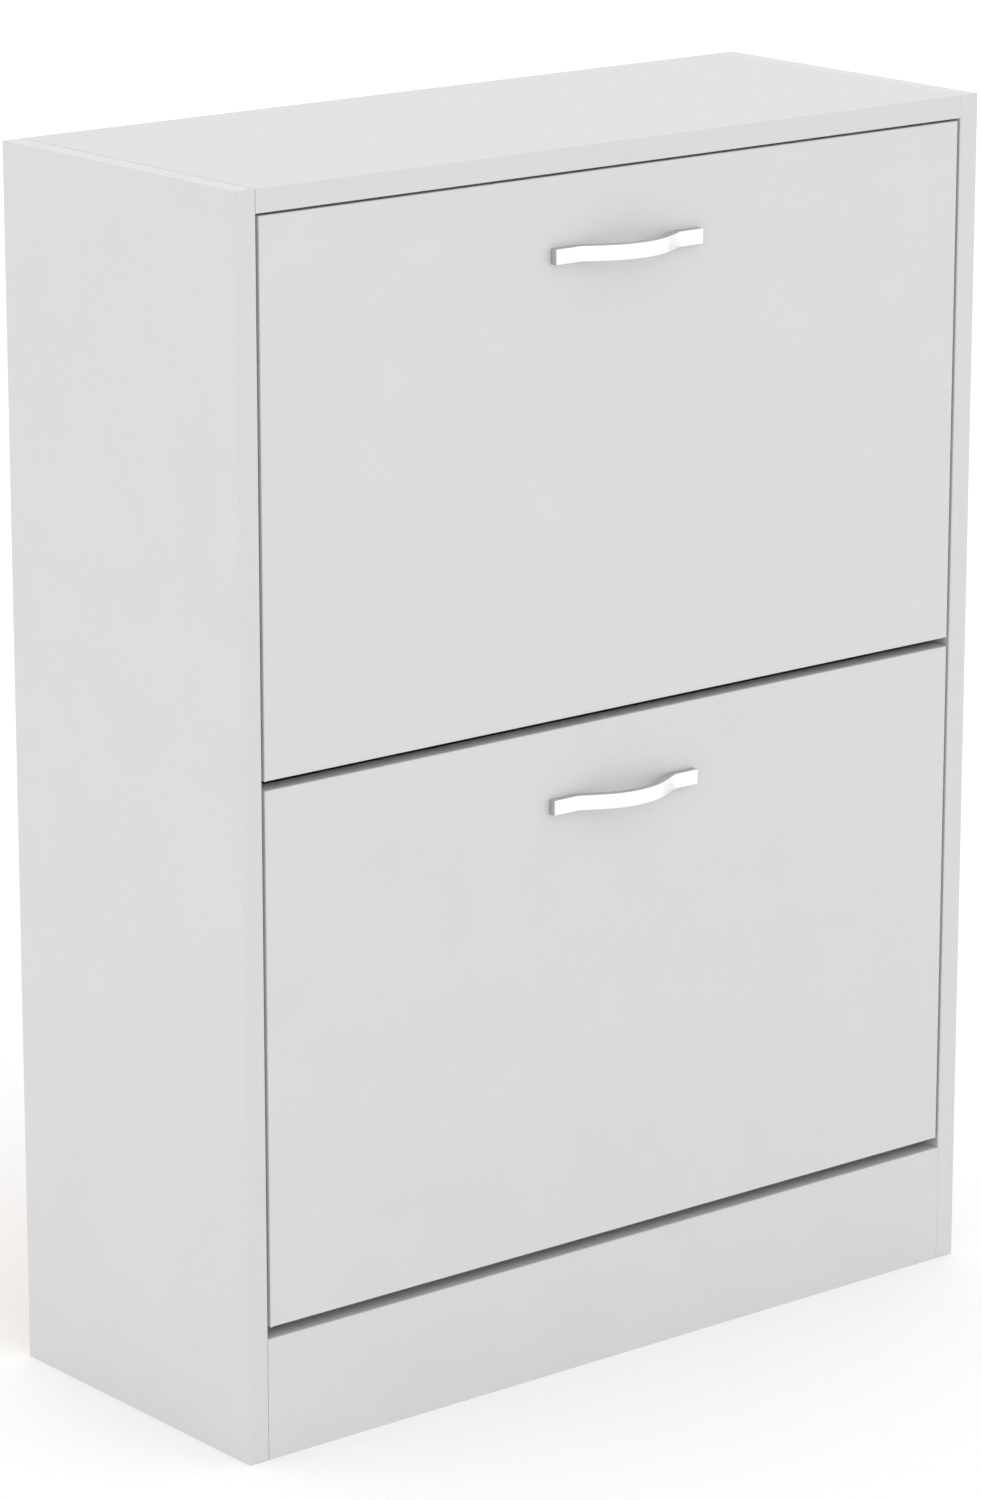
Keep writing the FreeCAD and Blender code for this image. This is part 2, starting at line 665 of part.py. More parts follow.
def wall_brackets():
    """Make the two steel angles under the top panel and the screws that hold them."""
    middle = "-wall_spacing / 2"
    left = "%s - angle_width / 2" % middle
    right = "%s + angle_width / 2" % middle
    lying = box("angle_lying", (left, "back_face - angle_leg", "top_under - angle_sheet"),
                (right, "back_face", "top_under"))
    standing = box("angle_standing", (left, "back_face - angle_sheet", "top_under - angle_leg"),
                   (right, "back_face", "top_under - angle_sheet"))
    angle = DOC.addObject("Part::MultiFuse", "angle")
    angle.Shapes = [lying, standing]
    wall_hole = rod("angle_wall_hole", (middle, "back_face - angle_sheet", "wall_hole_level"),
                    (0, 1, 0), "wall_hole_radius", "angle_sheet")
    seat = (middle, "back_face - angle_leg / 2", "top_under - angle_sheet")
    screw_hole = rod("angle_screw_hole", seat, (0, 0, 1), "wood_screw_radius + fit", "angle_sheet")
    drilled = cut("angle", angle, wall_hole, screw_hole)
    node("wall_brackets", both_sides("angles", [drilled]))
    screw = pan_screw("angle_screw", seat, (0, 0, -1), "wood_screw_radius",
                      "angle_sheet + wood_screw_length - fit")
    node("wall_bracket_screws", both_sides("angle_screws", [screw]))


def pins():
    """Make the pins in the side panels: pivots, and stops that run in the brackets' slots."""
    start = "-side_in - side_hole_depth + fit"
    pivots = []
    stops = []
    for door, base in DOORS:
        level = "%s + pivot_above" % base
        pivots.append(rod(door + "_pivot", (start, "pivot_y", level), (1, 0, 0), "pin_radius",
                          "side_hole_depth - fit + side_in - web_out + boss_length - 1"))
        stops.append(rod(door + "_stop", (start, "pivot_y + stop_y", level + " + stop_z"), (1, 0, 0),
                         "pin_radius", "side_hole_depth - fit + side_in - web_in - stop_gap"))
    node("pivot_pins", both_sides("pivots", pivots))
    node("stop_pins", both_sides("stops", stops))


# ---------------------------------------------------------------- doors

DOORS = (("upper", "upper_base"), ("lower", "lower_base"))


def screw_levels():
    """List the flange screws' heights above the pivot."""
    return ["flange_screw_low + %d * flange_screw_pitch" % step for step in range(4)]


def door_panel(door, base):
    """Make a door's board, bored for the handle screws and the bracket screws."""
    pivot_z = "%s + pivot_above" % base
    blank = box(door + "_door_blank", ("band - door_half", "front", base + " + band"),
                ("door_half - band", "door_back", base + " + door_height - band"))
    bore = rod(door + "_handle_bore",
               ("-handle_spacing / 2", "front", "%s + handle_z" % pivot_z), (0, 1, 0),
               "handle_bore_radius", "board")
    pilots = [rod("%s_pilot%d" % (door, index),
                  ("flange_screw_in - web_out", "door_back", "%s + %s" % (pivot_z, level)),
                  (0, -1, 0), "wood_screw_radius + fit", "wood_screw_length")
              for index, level in enumerate(screw_levels())]
    holes = both_sides(door + "_door_holes", [bore] + pilots)
    node(door + "_door", cut(door + "_door", blank, holes))


def door_bands(door, base):
    """Make the four edge bands of a door."""
    top = base + " + door_height"
    upright = strip(door + "_side_band", ("-door_half", "front", base),
                    ("band - door_half", "door_back", top), (-1, 0, 0), (0, 0, 1))
    above = strip(door + "_top_band", ("band - door_half", "front", top + " - band"),
                  ("door_half - band", "door_back", top), (0, 0, 1), (1, 0, 0))
    below = strip(door + "_bottom_band", ("band - door_half", "front", base),
                  ("door_half - band", "door_back", base + " + band"), (0, 0, -1), (1, 0, 0))
    uprights = both_sides(door + "_side_bands", [upright])
    node(door + "_door_edge_bands", group(door + "_bands", [uprights, above, below]))


def bend_point(side, depth):
    """Place a flank's meeting with its bend, at a depth behind the handle's front face."""
    x = "%d * (foot_x - (handle_bend + %s) * slope_sin)" % (side, depth)
    y = "bend_centre + (handle_bend + %s) * slope_cos" % depth
    return x, y


def bow_point(side, depth):
    """Place a flank's meeting with the bow, at a depth behind the handle's front face."""
    x = "%d * (bow_radius - %s) * slope_sin" % (side, depth)
    y = "bow_centre - (bow_radius - %s) * slope_cos" % depth
    return x, y


def handle(door, base):
    """Make a bow handle: flat feet, a strip of even thickness and threaded holes behind."""
    body = DOC.addObject("PartDesign::Body", door + "_handle_body")
    plan = sketch_on(body, door + "_handle_plan", "XY_Plane")
    end = "handle_length / 2"
    outline(plan, [
        ("-" + end, "-handle_thick"),
        ("-foot_x", "-handle_thick", "handle_bend", -1),
        bend_point(-1, 0),
        bow_point(-1, 0) + ("bow_radius", 1),
        bow_point(1, 0),
        bend_point(1, 0) + ("handle_bend", -1),
        ("foot_x", "-handle_thick"),
        (end, "-handle_thick"),
        (end, 0),
        ("foot_x", 0, "handle_bend + handle_thick", 1),
        bend_point(1, "handle_thick"),
        bow_point(1, "handle_thick") + ("bow_radius - handle_thick", -1),
        bow_point(-1, "handle_thick"),
        bend_point(-1, "handle_thick") + ("handle_bend + handle_thick", 1),
        ("-foot_x", 0),
        ("-" + end, 0),
    ])
    pad(body, door + "_handle_strip", plan, "handle_height", "Symmetric")
    holes = sketch_on(body, door + "_handle_holes", "XZ_Plane")
    for side in ("-", ""):
        circle(holes, side + "handle_spacing / 2", 0, "handle_screw_radius + fit / 2")
    pocket(body, door + "_handle_threads", holes, "handle_hole_depth", True)
    reach = number("handle_height") / 2

    def long_front_edge(edge):
        middle = edge.CenterOfMass
        return abs(abs(middle.z) - reach) < TINY and middle.y < -TINY

    round_edges(body, door + "_handle_rounding", "handle_round", long_front_edge)
    put(body, 0, "front", "%s + pivot_above + handle_z" % base)
    node(door + "_handle", body)
    screw = pan_screw(door + "_handle_screw",
                      ("-handle_spacing / 2", "door_back", "%s + pivot_above + handle_z" % base),
                      (0, 1, 0), "handle_screw_radius", "board + handle_hole_depth - 3 * fit")
    node(door + "_handle_screws", both_sides(door + "_handle_screw_pair", [screw]))


def arc_spot(radius, angle, beyond="0"):
    """Place a point round the pivot: angle is counted back from the vertical, and beyond is
    the distance past that angle, along the tangent."""
    y = "(%s) * sin(%s) + (%s) * cos(%s)" % (radius, angle, beyond, angle)
    z = "(%s) * cos(%s) - (%s) * sin(%s)" % (radius, angle, beyond, angle)
    return y, z


def bracket_ribs():
    """List the ribs that hold the bucket boards, as low and high corners in y and z."""
    gap = "rib_gap"
    over_floor = "floor_z + sheet + " + gap
    over_rear = "rear_floor_z + sheet + " + gap
    return (
        (("flange_y", "floor_z - rib_gap - rib"), ("divider_rear_y + rib_gap + rib", "floor_z - rib_gap")),
        (("flange_y", over_floor), ("divider_y - rib_gap", over_floor + " + rib")),
        (("divider_y - rib_gap - rib", over_floor + " + rib"), ("divider_y - rib_gap", "divider_top")),
        (("divider_rear_y + rib_gap", over_rear), ("divider_rear_y + rib_gap + rib", "divider_top")),
        (("divider_rear_y + rib_gap", "rear_floor_z - rib_gap - rib"),
         ("bucket_y + rib_gap + rib", "rear_floor_z - rib_gap")),
        (("divider_rear_y + rib_gap + rib", over_rear), ("rear_board_y - rib_gap", over_rear + " + rib")),
        (("rear_board_y - rib_gap - rib", over_rear + " + rib"),
         ("rear_board_y - rib_gap", "web_rear_height - web_round")),
        (("bucket_y + rib_gap", "rear_floor_z - rib_gap"),
         ("bucket_y + rib_gap + rib", "web_rear_height - web_round")),
    )


def bracket(door, base):
    """Make a door's left bracket and its mirrored right one.

    The web carries the bucket boards between ribs, the flange is screwed to the door, the
    boss turns on the pivot pin, and the stop pin runs in the slot.
    """
    name = door + "_bracket"
    body = DOC.addObject("PartDesign::Body", name)
    web = sketch_on(body, name + "_web_outline", "YZ_Plane")
    outline(web, [
        ("back_y", "flange_base"),
        ("divider_rear_y + rib_gap + rib", "flange_base"),
        ("divider_rear_y + rib_gap + rib + web_rim", "rear_floor_z - web_rim"),
        ("bucket_y + web_back_rim", "rear_floor_z - web_rim"),
        ("bucket_y + web_back_rim", "web_rear_height"),
        ("divider_rear_y + web_rim", "web_middle_height"),
        ("web_top_depth", "flange_top"),
        ("back_y", "flange_top"),
    ])
    pad(body, name + "_web", web, "web")
    front = number("back_y")

    def loose_corner(edge):
        across = abs(edge.tangentAt(edge.FirstParameter).x) > 1 - TINY
        return across and edge.CenterOfMass.y > front + TINY

    round_edges(body, name + "_rounding", "web_round", loose_corner)
    ribs = sketch_on(body, name + "_rib_outline", "YZ_Plane")
    for index, (low, high) in enumerate(bracket_ribs()):
        sketch = ribs if index == 0 else sketch_on(body, "%s_rib_outline%d" % (name, index), "YZ_Plane")
        rectangle(sketch, low, high)
        pad(body, "%s_rib%d" % (name, index), sketch, "web + rib_reach")
    flange = sketch_on(body, name + "_flange_outline", "YZ_Plane")
    rectangle(flange, ("back_y", "flange_base"), ("flange_y", "flange_top"))
    pad(body, name + "_flange", flange, "flange_width")
    boss = sketch_on(body, name + "_boss_outline", "YZ_Plane")
    flat = "sqrt(boss_radius * boss_radius - back_y * back_y)"
    outline(boss, [
        ("back_y", "-" + flat, "boss_radius", 1),
        ("boss_radius", 0, "boss_radius", 1),
        ("back_y", flat),
    ])
    pad(body, name + "_boss", boss, "boss_length")
    bore = sketch_on(body, name + "_bore_outline", "YZ_Plane")
    circle(bore, 0, 0, "pin_radius + running_gap")
    pocket(body, name + "_bore", bore, "boss_length", True)
    slot = sketch_on(body, name + "_slot_outline", "YZ_Plane")
    outer, inner = "stop_radius + slot_half", "stop_radius - slot_half"
    last = "stop_angle + tip_angle"
    outline(slot, [
        arc_spot(outer, "stop_angle") + (outer, -1),
        arc_spot(outer, last) + ("slot_half", -1),
        arc_spot("stop_radius", last, "slot_half") + ("slot_half", -1),
        arc_spot(inner, last) + (inner, 1),
        arc_spot(inner, "stop_angle") + ("slot_half", -1),
        arc_spot("stop_radius", "stop_angle", "-slot_half") + ("slot_half", -1),
    ])
    pocket(body, name + "_slot", slot, "web", True)
    holes = sketch_on(body, name + "_flange_holes", "XZ_Plane")
    for level in screw_levels():
        circle(holes, "flange_screw_in", level, "wood_screw_radius + fit")
    bind(holes, "AttachmentOffset.Base.z", "-back_y")
    pocket(body, name + "_flange_drilled", holes, "flange", False)
    put(body, "-web_out", "pivot_y", "%s + pivot_above" % base)
    node(door + "_left_bracket", body)
    node(door + "_right_bracket", mirrored(name + "_right", body))
    screws = [pan_screw("%s_screw%d" % (name, index),
                        ("flange_screw_in - web_out", "pivot_y + flange_y",
                         "%s + pivot_above + %s" % (base, level)),
                        (0, 1, 0), "wood_screw_radius", "flange + wood_screw_length - fit")
              for index, level in enumerate(screw_levels())]
    node(door + "_bracket_screws", both_sides(name + "_screws", screws))


def bucket_boards(door, base):
    """Make the four thin boards of a door's bucket."""
    half = "web_in - sheet_end_gap"
    origin_z = "%s + pivot_above + " % base
    for part, low, high in (
            ("front_floor", ("flange_y + sheet_end_gap", "floor_z"),
             ("divider_rear_y", "floor_z + sheet")),
            ("divider", ("divider_y", "floor_z + sheet"), ("divider_rear_y", "divider_top")),
            ("rear_floor", ("divider_rear_y", "rear_floor_z"),
             ("rear_board_y", "rear_floor_z + sheet")),
            ("rear_board", ("rear_board_y", "rear_floor_z"), ("bucket_y", "rear_board_top"))):
        node("%s_%s" % (door, part), box(
            "%s_%s_sheet" % (door, part),
            ("-(%s)" % half, "pivot_y + " + low[0], origin_z + low[1]),
            (half, "pivot_y + " + high[0], origin_z + high[1])))


# ---------------------------------------------------------------- document

def check_document():
    """Stop if any object failed or any sub-part has no sound shape."""
    for item in DOC.Objects:
        if "Invalid" in item.State or "Error" in item.State:
            raise RuntimeError("%s: %s" % (item.Name, item.State))
    for item in NODES:
        if item.Shape.isNull() or not item.Shape.isValid() or not item.Shape.Solids:
            raise RuntimeError("%s has no sound shape" % item.Label)


def write_parts():
    """Write each sub-part to a STEP file of its own name."""
    os.makedirs("parts", exist_ok=True)
    for item in NODES:
        item.Shape.exportStep("parts/%s.step" % item.Label)
        print("%-28s %3d solids  %10.1f mm3" % (item.Label, len(item.Shape.Solids), item.Shape.Volume))


fill_sheets()
side_panels()
top_panel()
inner_boards()
plinth()
back_panel()
back_panel_nails()
carcass_bands()
carcass_fasteners()
wall_brackets()
pins()
for door_name, door_base in DOORS:
    door_panel(door_name, door_base)
    door_bands(door_name, door_base)
    handle(door_name, door_base)
    bracket(door_name, door_base)
    bucket_boards(door_name, door_base)
DOC.recompute()
check_document()
write_parts()
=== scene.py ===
"""Looks of a white shoe cabinet with two tip-out doors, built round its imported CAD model.

The boards, the edge bands and the cam bolts keep their CAD shape and get their finishes here:
melamine faces, ABS bands and raw chipboard or hardboard wherever the core shows. The handles
and the other small hardware are built here in full detail and stand for their plain CAD solids.
Sizes are in metres, and the finishes' patterns in mm. The frame is the CAD model's: +Z is up
and the front looks along -Y.
"""
import logging
import math
from dataclasses import dataclass, field, replace
from enum import Enum
from typing import Callable, Sequence

import bmesh
import bpy
from mathutils import Matrix, Vector


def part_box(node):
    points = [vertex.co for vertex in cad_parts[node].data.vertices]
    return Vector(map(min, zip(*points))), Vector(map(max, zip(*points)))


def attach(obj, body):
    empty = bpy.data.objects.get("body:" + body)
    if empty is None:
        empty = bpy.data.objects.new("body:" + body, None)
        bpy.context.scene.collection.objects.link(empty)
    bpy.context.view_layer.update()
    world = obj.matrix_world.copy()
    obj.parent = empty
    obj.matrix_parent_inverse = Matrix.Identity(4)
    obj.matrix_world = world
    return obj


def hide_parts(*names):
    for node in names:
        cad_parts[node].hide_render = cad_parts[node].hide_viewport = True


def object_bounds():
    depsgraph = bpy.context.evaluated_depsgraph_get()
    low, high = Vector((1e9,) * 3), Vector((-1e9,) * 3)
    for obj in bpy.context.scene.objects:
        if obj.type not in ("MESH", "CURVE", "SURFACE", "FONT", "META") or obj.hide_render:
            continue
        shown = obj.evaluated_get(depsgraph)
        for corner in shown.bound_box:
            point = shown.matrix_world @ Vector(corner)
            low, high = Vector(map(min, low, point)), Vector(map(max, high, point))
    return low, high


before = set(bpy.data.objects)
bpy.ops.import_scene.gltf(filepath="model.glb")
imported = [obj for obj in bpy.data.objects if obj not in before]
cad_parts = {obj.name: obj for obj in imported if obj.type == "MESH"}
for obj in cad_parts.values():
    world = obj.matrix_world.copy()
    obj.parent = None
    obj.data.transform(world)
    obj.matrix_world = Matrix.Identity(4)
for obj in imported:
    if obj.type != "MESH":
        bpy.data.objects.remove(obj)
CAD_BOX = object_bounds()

log = logging.getLogger("shoe_cabinet")

MM = 0.001
BAR_MAP = "along_bar"

# How near a polygon lies to a board's face to belong to it, and how near points are one.
ON_PLANE = 0.02 * MM
WELD = 0.001 * MM
# Edges that turn more than this are drawn sharp, or rounded on a moulded part, and those that
# turn less than the second are taken out of a moulded part's flat faces.
SHARP_EDGE = math.radians(30)
FLAT_EDGE = math.radians(0.5)
# A normal's share across a board from which a polygon is flat on its face.
FLAT_FACING = 0.99
# A normal's upright share from which a polygon is a handle's long top or bottom edge, which gets the
# painted shade.
EDGE_FACING = 0.8
# The share of a part's radius from which a point is at its rim, and the share of its length
# by which those points lean to one end when it has a head there.
AT_RIM = 0.95
HEAD_LEAN = 0.1
# Between these lie nearly all values of a noise pattern.
NOISE_LOW, NOISE_HIGH = 0.25, 0.75

Colour = tuple[float, float, float, float]


class Axis(Enum):
    """An axis of the cabinet's frame."""

    X = 0
    Y = 1
    Z = 2


class Door(Enum):
    """The two doors, by the word that starts their nodes' names."""

    UPPER = "upper"
    LOWER = "lower"

    @property
    def body(self) -> str:
        """Names the CAD body that tips with this door."""
        return self.value + "_tip_door"


# ---- colours and nodes

def linear(hex_colour: str) -> Colour:
    """Turns an sRGB colour into linear light.

    Args:
        hex_colour: the colour as #RRGGBB.

    Returns:
        Red, green, blue and an alpha of 1, in linear light.
    """
    values = [int(hex_colour[i:i + 2], 16) / 255 for i in (1, 3, 5)]
    light = [v / 12.92 if v <= 0.04045 else ((v + 0.055) / 1.055) ** 2.4 for v in values]
    return light[0], light[1], light[2], 1.0


def add_node(tree: bpy.types.NodeTree, kind: str, settings: dict | None = None,
             links: dict | None = None) -> bpy.types.Node:
    """Adds a node to a material with its settings and links.

    Args:
        tree: the material's node tree.
        kind: the node's type, without its ShaderNode prefix.
        settings: the node's properties, or constants for its inputs, by name or number.
        links: the output that feeds each linked input, by the input's name or number.

    Returns:
        The new node.
    """
    node = tree.nodes.new("ShaderNode" + kind)
    constants = {}
    for name, value in (settings or {}).items():
        if isinstance(name, str) and hasattr(node, name):
            setattr(node, name, value)
        else:
            constants[name] = value
    for name, value in constants.items():
        node.inputs[name].default_value = value
    for name, source in (links or {}).items():
        tree.links.new(source, node.inputs[name])
    return node


# ---- finishes

@dataclass(frozen=True)
class Layer:
    """A soft random pattern in a finish, and what it does to the surface.

    Args:
        size: a patch's length along X, Y and Z, or along its map's U and V, in mm.
        stops: each place on its colour ramp and the sRGB hex colour there, None for the
            finish's own colour. Without stops it leaves the colour alone.
        spread: how far it takes the roughness from its main value, each way.
        depth: how high it raises the surface, in mm.
        strength: how much of that is taken, from 0 to 1.
        detail: how many finer patterns are added to it.
        map_name: the piece's own map that it follows, or none for the cabinet's frame.
    """

    size: Sequence[float]
    stops: Sequence[tuple[float, str | None]] = ()
    spread: float = 0.0
    depth: float = 0.0
    strength: float = 0.0
    detail: float = 2.0
    map_name: str = ""


@dataclass(frozen=True)
class Surface:
    """A material under way.

    Args:
        tree: its node tree.
        shader: its principled shader, whose sockets the patterns drive.
    """

    tree: bpy.types.NodeTree
    shader: bpy.types.Node

    def place(self, size: Sequence[float], map_name: str = "") -> bpy.types.NodeSocket:
        """Lays out a pattern in real size, so that one unit is one feature.

        Args:
            size: a feature's length along X, Y and Z, or along the map's U and V, in mm.
            map_name: the map that it follows, or none for the cabinet's frame.

        Returns:
            The coordinates, for a pattern's Vector input.
        """
        if map_name:
            where = add_node(self.tree, "UVMap", {"uv_map": map_name}).outputs["UV"]
        else:
            where = add_node(self.tree, "TexCoord").outputs["Object"]
        scale = [1 / (length * MM) for length in size]
        return add_node(self.tree, "Mapping", {"Scale": scale}, {"Vector": where}).outputs["Vector"]

    def colour(self, value: bpy.types.NodeSocket, stops: Sequence[tuple[float, str | None]]) -> None:
        """Colours the surface by a pattern.

        Args:
            value: the pattern, from 0 to 1.
            stops: each place on the ramp and the sRGB hex colour there, or None.
        """
        base = self.shader.inputs["Base Color"]
        ramp = add_node(self.tree, "ValToRGB", links={"Fac": value})
        while len(ramp.color_ramp.elements) < len(stops):
            ramp.color_ramp.elements.new(0.5)
        for element, (place, colour) in zip(ramp.color_ramp.elements, stops):
            element.position = place
            element.color = linear(colour) if colour else base.default_value
        self.tree.links.new(ramp.outputs["Color"], base)

    def emboss(self, height: bpy.types.NodeSocket, depth: float, strength: float) -> None:
        """Raises the surface by a pattern, up to a depth in mm, of which it takes a share."""
        bump = add_node(self.tree, "Bump", {"Distance": depth * MM, "Strength": strength},
                        {"Height": height})
        self.tree.links.new(bump.outputs["Normal"], self.shader.inputs["Normal"])

    def paint(self, layer: Layer) -> None:
        """Adds a layer's pattern and lets it drive the shader.

        Args:
            layer: the layer.
        """
        value = add_node(self.tree, "TexNoise",
                         {"Scale": 1.0, "Detail": layer.detail, "Roughness": 0.5},
                         {"Vector": self.place(layer.size, layer.map_name)}).outputs["Fac"]
        if layer.stops:
            self.colour(value, layer.stops)
        if layer.spread:
            roughness = self.shader.inputs["Roughness"]
            main = roughness.default_value
            mapped = add_node(self.tree, "MapRange", {
                "From Min": NOISE_LOW, "From Max": NOISE_HIGH, "To Min": main - layer.spread,
                "To Max": main + layer.spread}, {"Value": value})
            self.tree.links.new(mapped.outputs["Result"], roughness)
        if layer.depth:
            self.emboss(value, layer.depth, layer.strength)


@dataclass(frozen=True)
class Finish:
    """What every finish has: a name, a colour and how it takes light.

    Args:
        name: the material's name, for the real material and how its surface was made.
        main: the main colour, as sRGB hex.
        roughness: the main roughness.
        ior: the index of refraction, or None for a metal, which keeps the default.
        metallic: 1 for bare metal, otherwise 0.
        layers: the patterns in it.
    """

    name: str
    main: str
    roughness: float
    ior: float | None = 1.5
    metallic: float = 0.0
    layers: Sequence[Layer] = ()

    def material(self) -> bpy.types.Material:
        """Gives the Blender material, which is made once.

        Returns:
            The material of this name.
        """
        made = bpy.data.materials.get(self.name)
        if made is None:
            made = bpy.data.materials.new(self.name)
            made.use_nodes = True
            made.node_tree.nodes.clear()
            settings = {"Base Color": linear(self.main), "Roughness": self.roughness,
                        "Metallic": self.metallic}
            if self.ior is not None:
                settings["IOR"] = self.ior
            shader = add_node(made.node_tree, "BsdfPrincipled", settings)
            add_node(made.node_tree, "OutputMaterial", links={"Surface": shader.outputs["BSDF"]})
            made.diffuse_color = linear(self.main)
            self.pattern(Surface(made.node_tree, shader))
        return made

    def pattern(self, surface: Surface) -> None:
        """Draws the finish's patterns on the surface of its material."""
        for layer in self.layers:
            surface.paint(layer)


@dataclass(frozen=True)
class SawnChipboard(Finish):
    """Raw chipboard core where a saw or a drill has cut through it.

    It gives the eye flat wood chips of many tans, packed in layers that lie along the board,
    with dark pores between them and a dry, rough surface.

    Args:
        across: the axis across the board.
        chip_length: a chip's length, in mm.
        chip_thickness: its thickness, in mm.
        board: the board's thickness, in mm.
        paper: how deep the faces' white goes into the core, in mm. The real paper is
            several times thinner, so it is drawn as thick as it needs to show.
    """

    across: Axis = Axis.X
    chip_length: float = 5.0
    chip_thickness: float = 1.1
    board: float = 15.0
    paper: float = 0.9

    def pattern(self, surface: Surface) -> None:
        """Draws chips that lie flat in the board, with pores between them, under white faces.

        Args:
            surface: the surface of its material.
        """
        tree = surface.tree
        size = [self.chip_length] * 3
        size[self.across.value] = self.chip_thickness
        chips = surface.place(size)
        wander = add_node(tree, "TexNoise", {"Scale": 1.6, "Detail": 2.0}, {"Vector": chips})
        bent = add_node(tree, "MixRGB", {"blend_type": "LINEAR_LIGHT", "Fac": 0.35},
                        {1: chips, 2: wander.outputs["Color"]})
        cell = add_node(tree, "TexVoronoi", {"feature": "F1", "Scale": 1.0, "Randomness": 1.0},
                        {"Vector": bent.outputs["Color"]})
        tone = add_node(tree, "SeparateColor", links={"Color": cell.outputs["Color"]})
        surface.colour(tone.outputs["Red"], (
            (0.0, "#8A6A45"), (0.2, "#B08A5C"), (0.55, None), (1.0, "#DDC59D")))
        surface.emboss(cell.outputs["Distance"], 0.5, 0.7)
        self.edge_with_paper(surface)

    def edge_with_paper(self, surface: Surface) -> None:
        """Whitens the core where it runs into the melamine paper on the board's two faces.

        Args:
            surface: the surface of its material.
        """
        tree = surface.tree
        base = surface.shader.inputs["Base Color"]
        through = add_node(tree, "SeparateXYZ", links={
            "Vector": add_node(tree, "TexCoord").outputs["Generated"]})
        middle = 0.5
        in_core = add_node(tree, "Math", {"operation": "COMPARE", 1: middle,
                                          2: middle - self.paper / self.board},
                           {0: through.outputs[self.across.value]})
        both = add_node(tree, "MixRGB", {1: linear(MELAMINE.main)},
                        {0: in_core.outputs["Value"], 2: base.links[0].from_socket})
        tree.links.new(both.outputs["Color"], base)


@dataclass(frozen=True)
class ScreenPressedHardboard(Finish):
    """Raw hardboard: wet-pressed wood fibre, with the press screen's print on its back.

    It gives the eye a warm brown of matted fibres and a small woven print of squares.

    Args:
        screen: the distance between two wires of the print, in mm.
    """

    screen: float = 2.4

    def pattern(self, surface: Surface) -> None:
        """Draws matted fibres and the screen's print.

        Args:
            surface: the surface of its material.
        """
        super().pattern(surface)
        # A press screen has a wire every 1.2 mm, so its print is drawn twice as coarse.
        place = surface.place([self.screen] * 3)
        wires = [add_node(surface.tree, "TexWave", {
            "bands_direction": way, "Scale": 1.0 / math.pi, "Distortion": 0.6,
            "Detail Scale": 2.0}, {"Vector": place}).outputs["Fac"] for way in ("X", "Z")]
        weave = add_node(surface.tree, "Math", {"operation": "MAXIMUM"},
                         {0: wires[0], 1: wires[1]})
        surface.emboss(weave.outputs["Value"], 0.25, 0.6)


# Melamine resin paper, hot-pressed on chipboard against a satin plate. It gives the eye an even
# white with a satin sheen, a hardly visible cloudiness of the paper and the plate's low pearl
# grain. A real pearl grain is 0.3 to 0.5 mm, so it is drawn three times as coarse to show.
MELAMINE = Finish("melamine_faced_chipboard_pressed", "#D0D0D0", 0.48, 1.55, layers=(
    Layer((55, 55, 55), ((0.3, "#CECECE"), (0.7, None)), spread=0.03),
    Layer((1.4, 1.4, 1.4), depth=0.02, strength=0.5, detail=1.0)))
# ABS edge band, extruded through a die and glued on. It gives the eye the same white, a little
# glossier, with faint lines from the die along its run. Real lines are about 0.1 mm apart, so
# they are drawn at 0.6 mm to show.
BANDS = {run: Finish("abs_edge_band_extruded_" + run.name.lower(), "#CFCFCF", 0.38, 1.53, layers=(
    Layer([90 if axis is run else 0.6 for axis in Axis], ((0.3, "#CDCDCD"), (0.7, None)),
          spread=0.05, depth=0.01, strength=0.4, detail=1.0),)) for run in Axis}
CHIPBOARD = {axis: SawnChipboard("raw_chipboard_sawn_" + axis.name.lower(), "#C9A876", 0.9, 1.5,
                                 across=axis) for axis in Axis}
# White lacquer, rolled on the smooth face of a hardboard sheet. It gives the eye a flat white
# with a low sheen and the roller's fine orange peel.
LACQUER = Finish("lacquered_hardboard_rolled", "#D2D2D0", 0.5, 1.5, layers=(
    Layer((2.2, 2.2, 2.2), spread=0.04, depth=0.03, strength=0.5, detail=1.0),
    Layer((30, 30, 30), ((0.3, "#CFCFCD"), (0.7, None)))))
HARDBOARD = ScreenPressedHardboard("raw_hardboard_screen_pressed", "#7E5B3B", 0.85, 1.5, layers=(
    Layer((3, 3, 9), ((0.25, "#5B3F28"), (0.5, None), (0.8, "#A67D55")), detail=6.0),))
SHEET_CORE = {axis: HARDBOARD for axis in Axis}
# Extruded aluminium, brushed along its length and anodised in a clear bath. It gives the eye a
# pale, soft metal that takes the white of the room, with fine lines along the bar. A real line
# is about 0.05 mm wide, so the lines are drawn ten times as coarse.
BRUSH_LINES = Layer((25, 0.5, 25), ((0.3, "#F4F4F5"), (0.7, None)), spread=0.06, depth=0.008,
                    strength=0.5, detail=3.0, map_name=BAR_MAP)
ALUMINIUM = Finish("anodised_aluminium_brushed", "#FBFBFC", 0.34, None, 1.0, (BRUSH_LINES,))
# The bar's long top and bottom edges and its ends take a darker grey than its front: painted shade.
# They are also a little rougher and keep faint lines along the bar.
PAINTED_SHADE_EDGE = Finish("anodised_aluminium_mill_edge", "#CACACB", 0.45, None, 1.0,
                   (replace(BRUSH_LINES, stops=((0.3, "#BEBEBF"), (0.7, None))),))
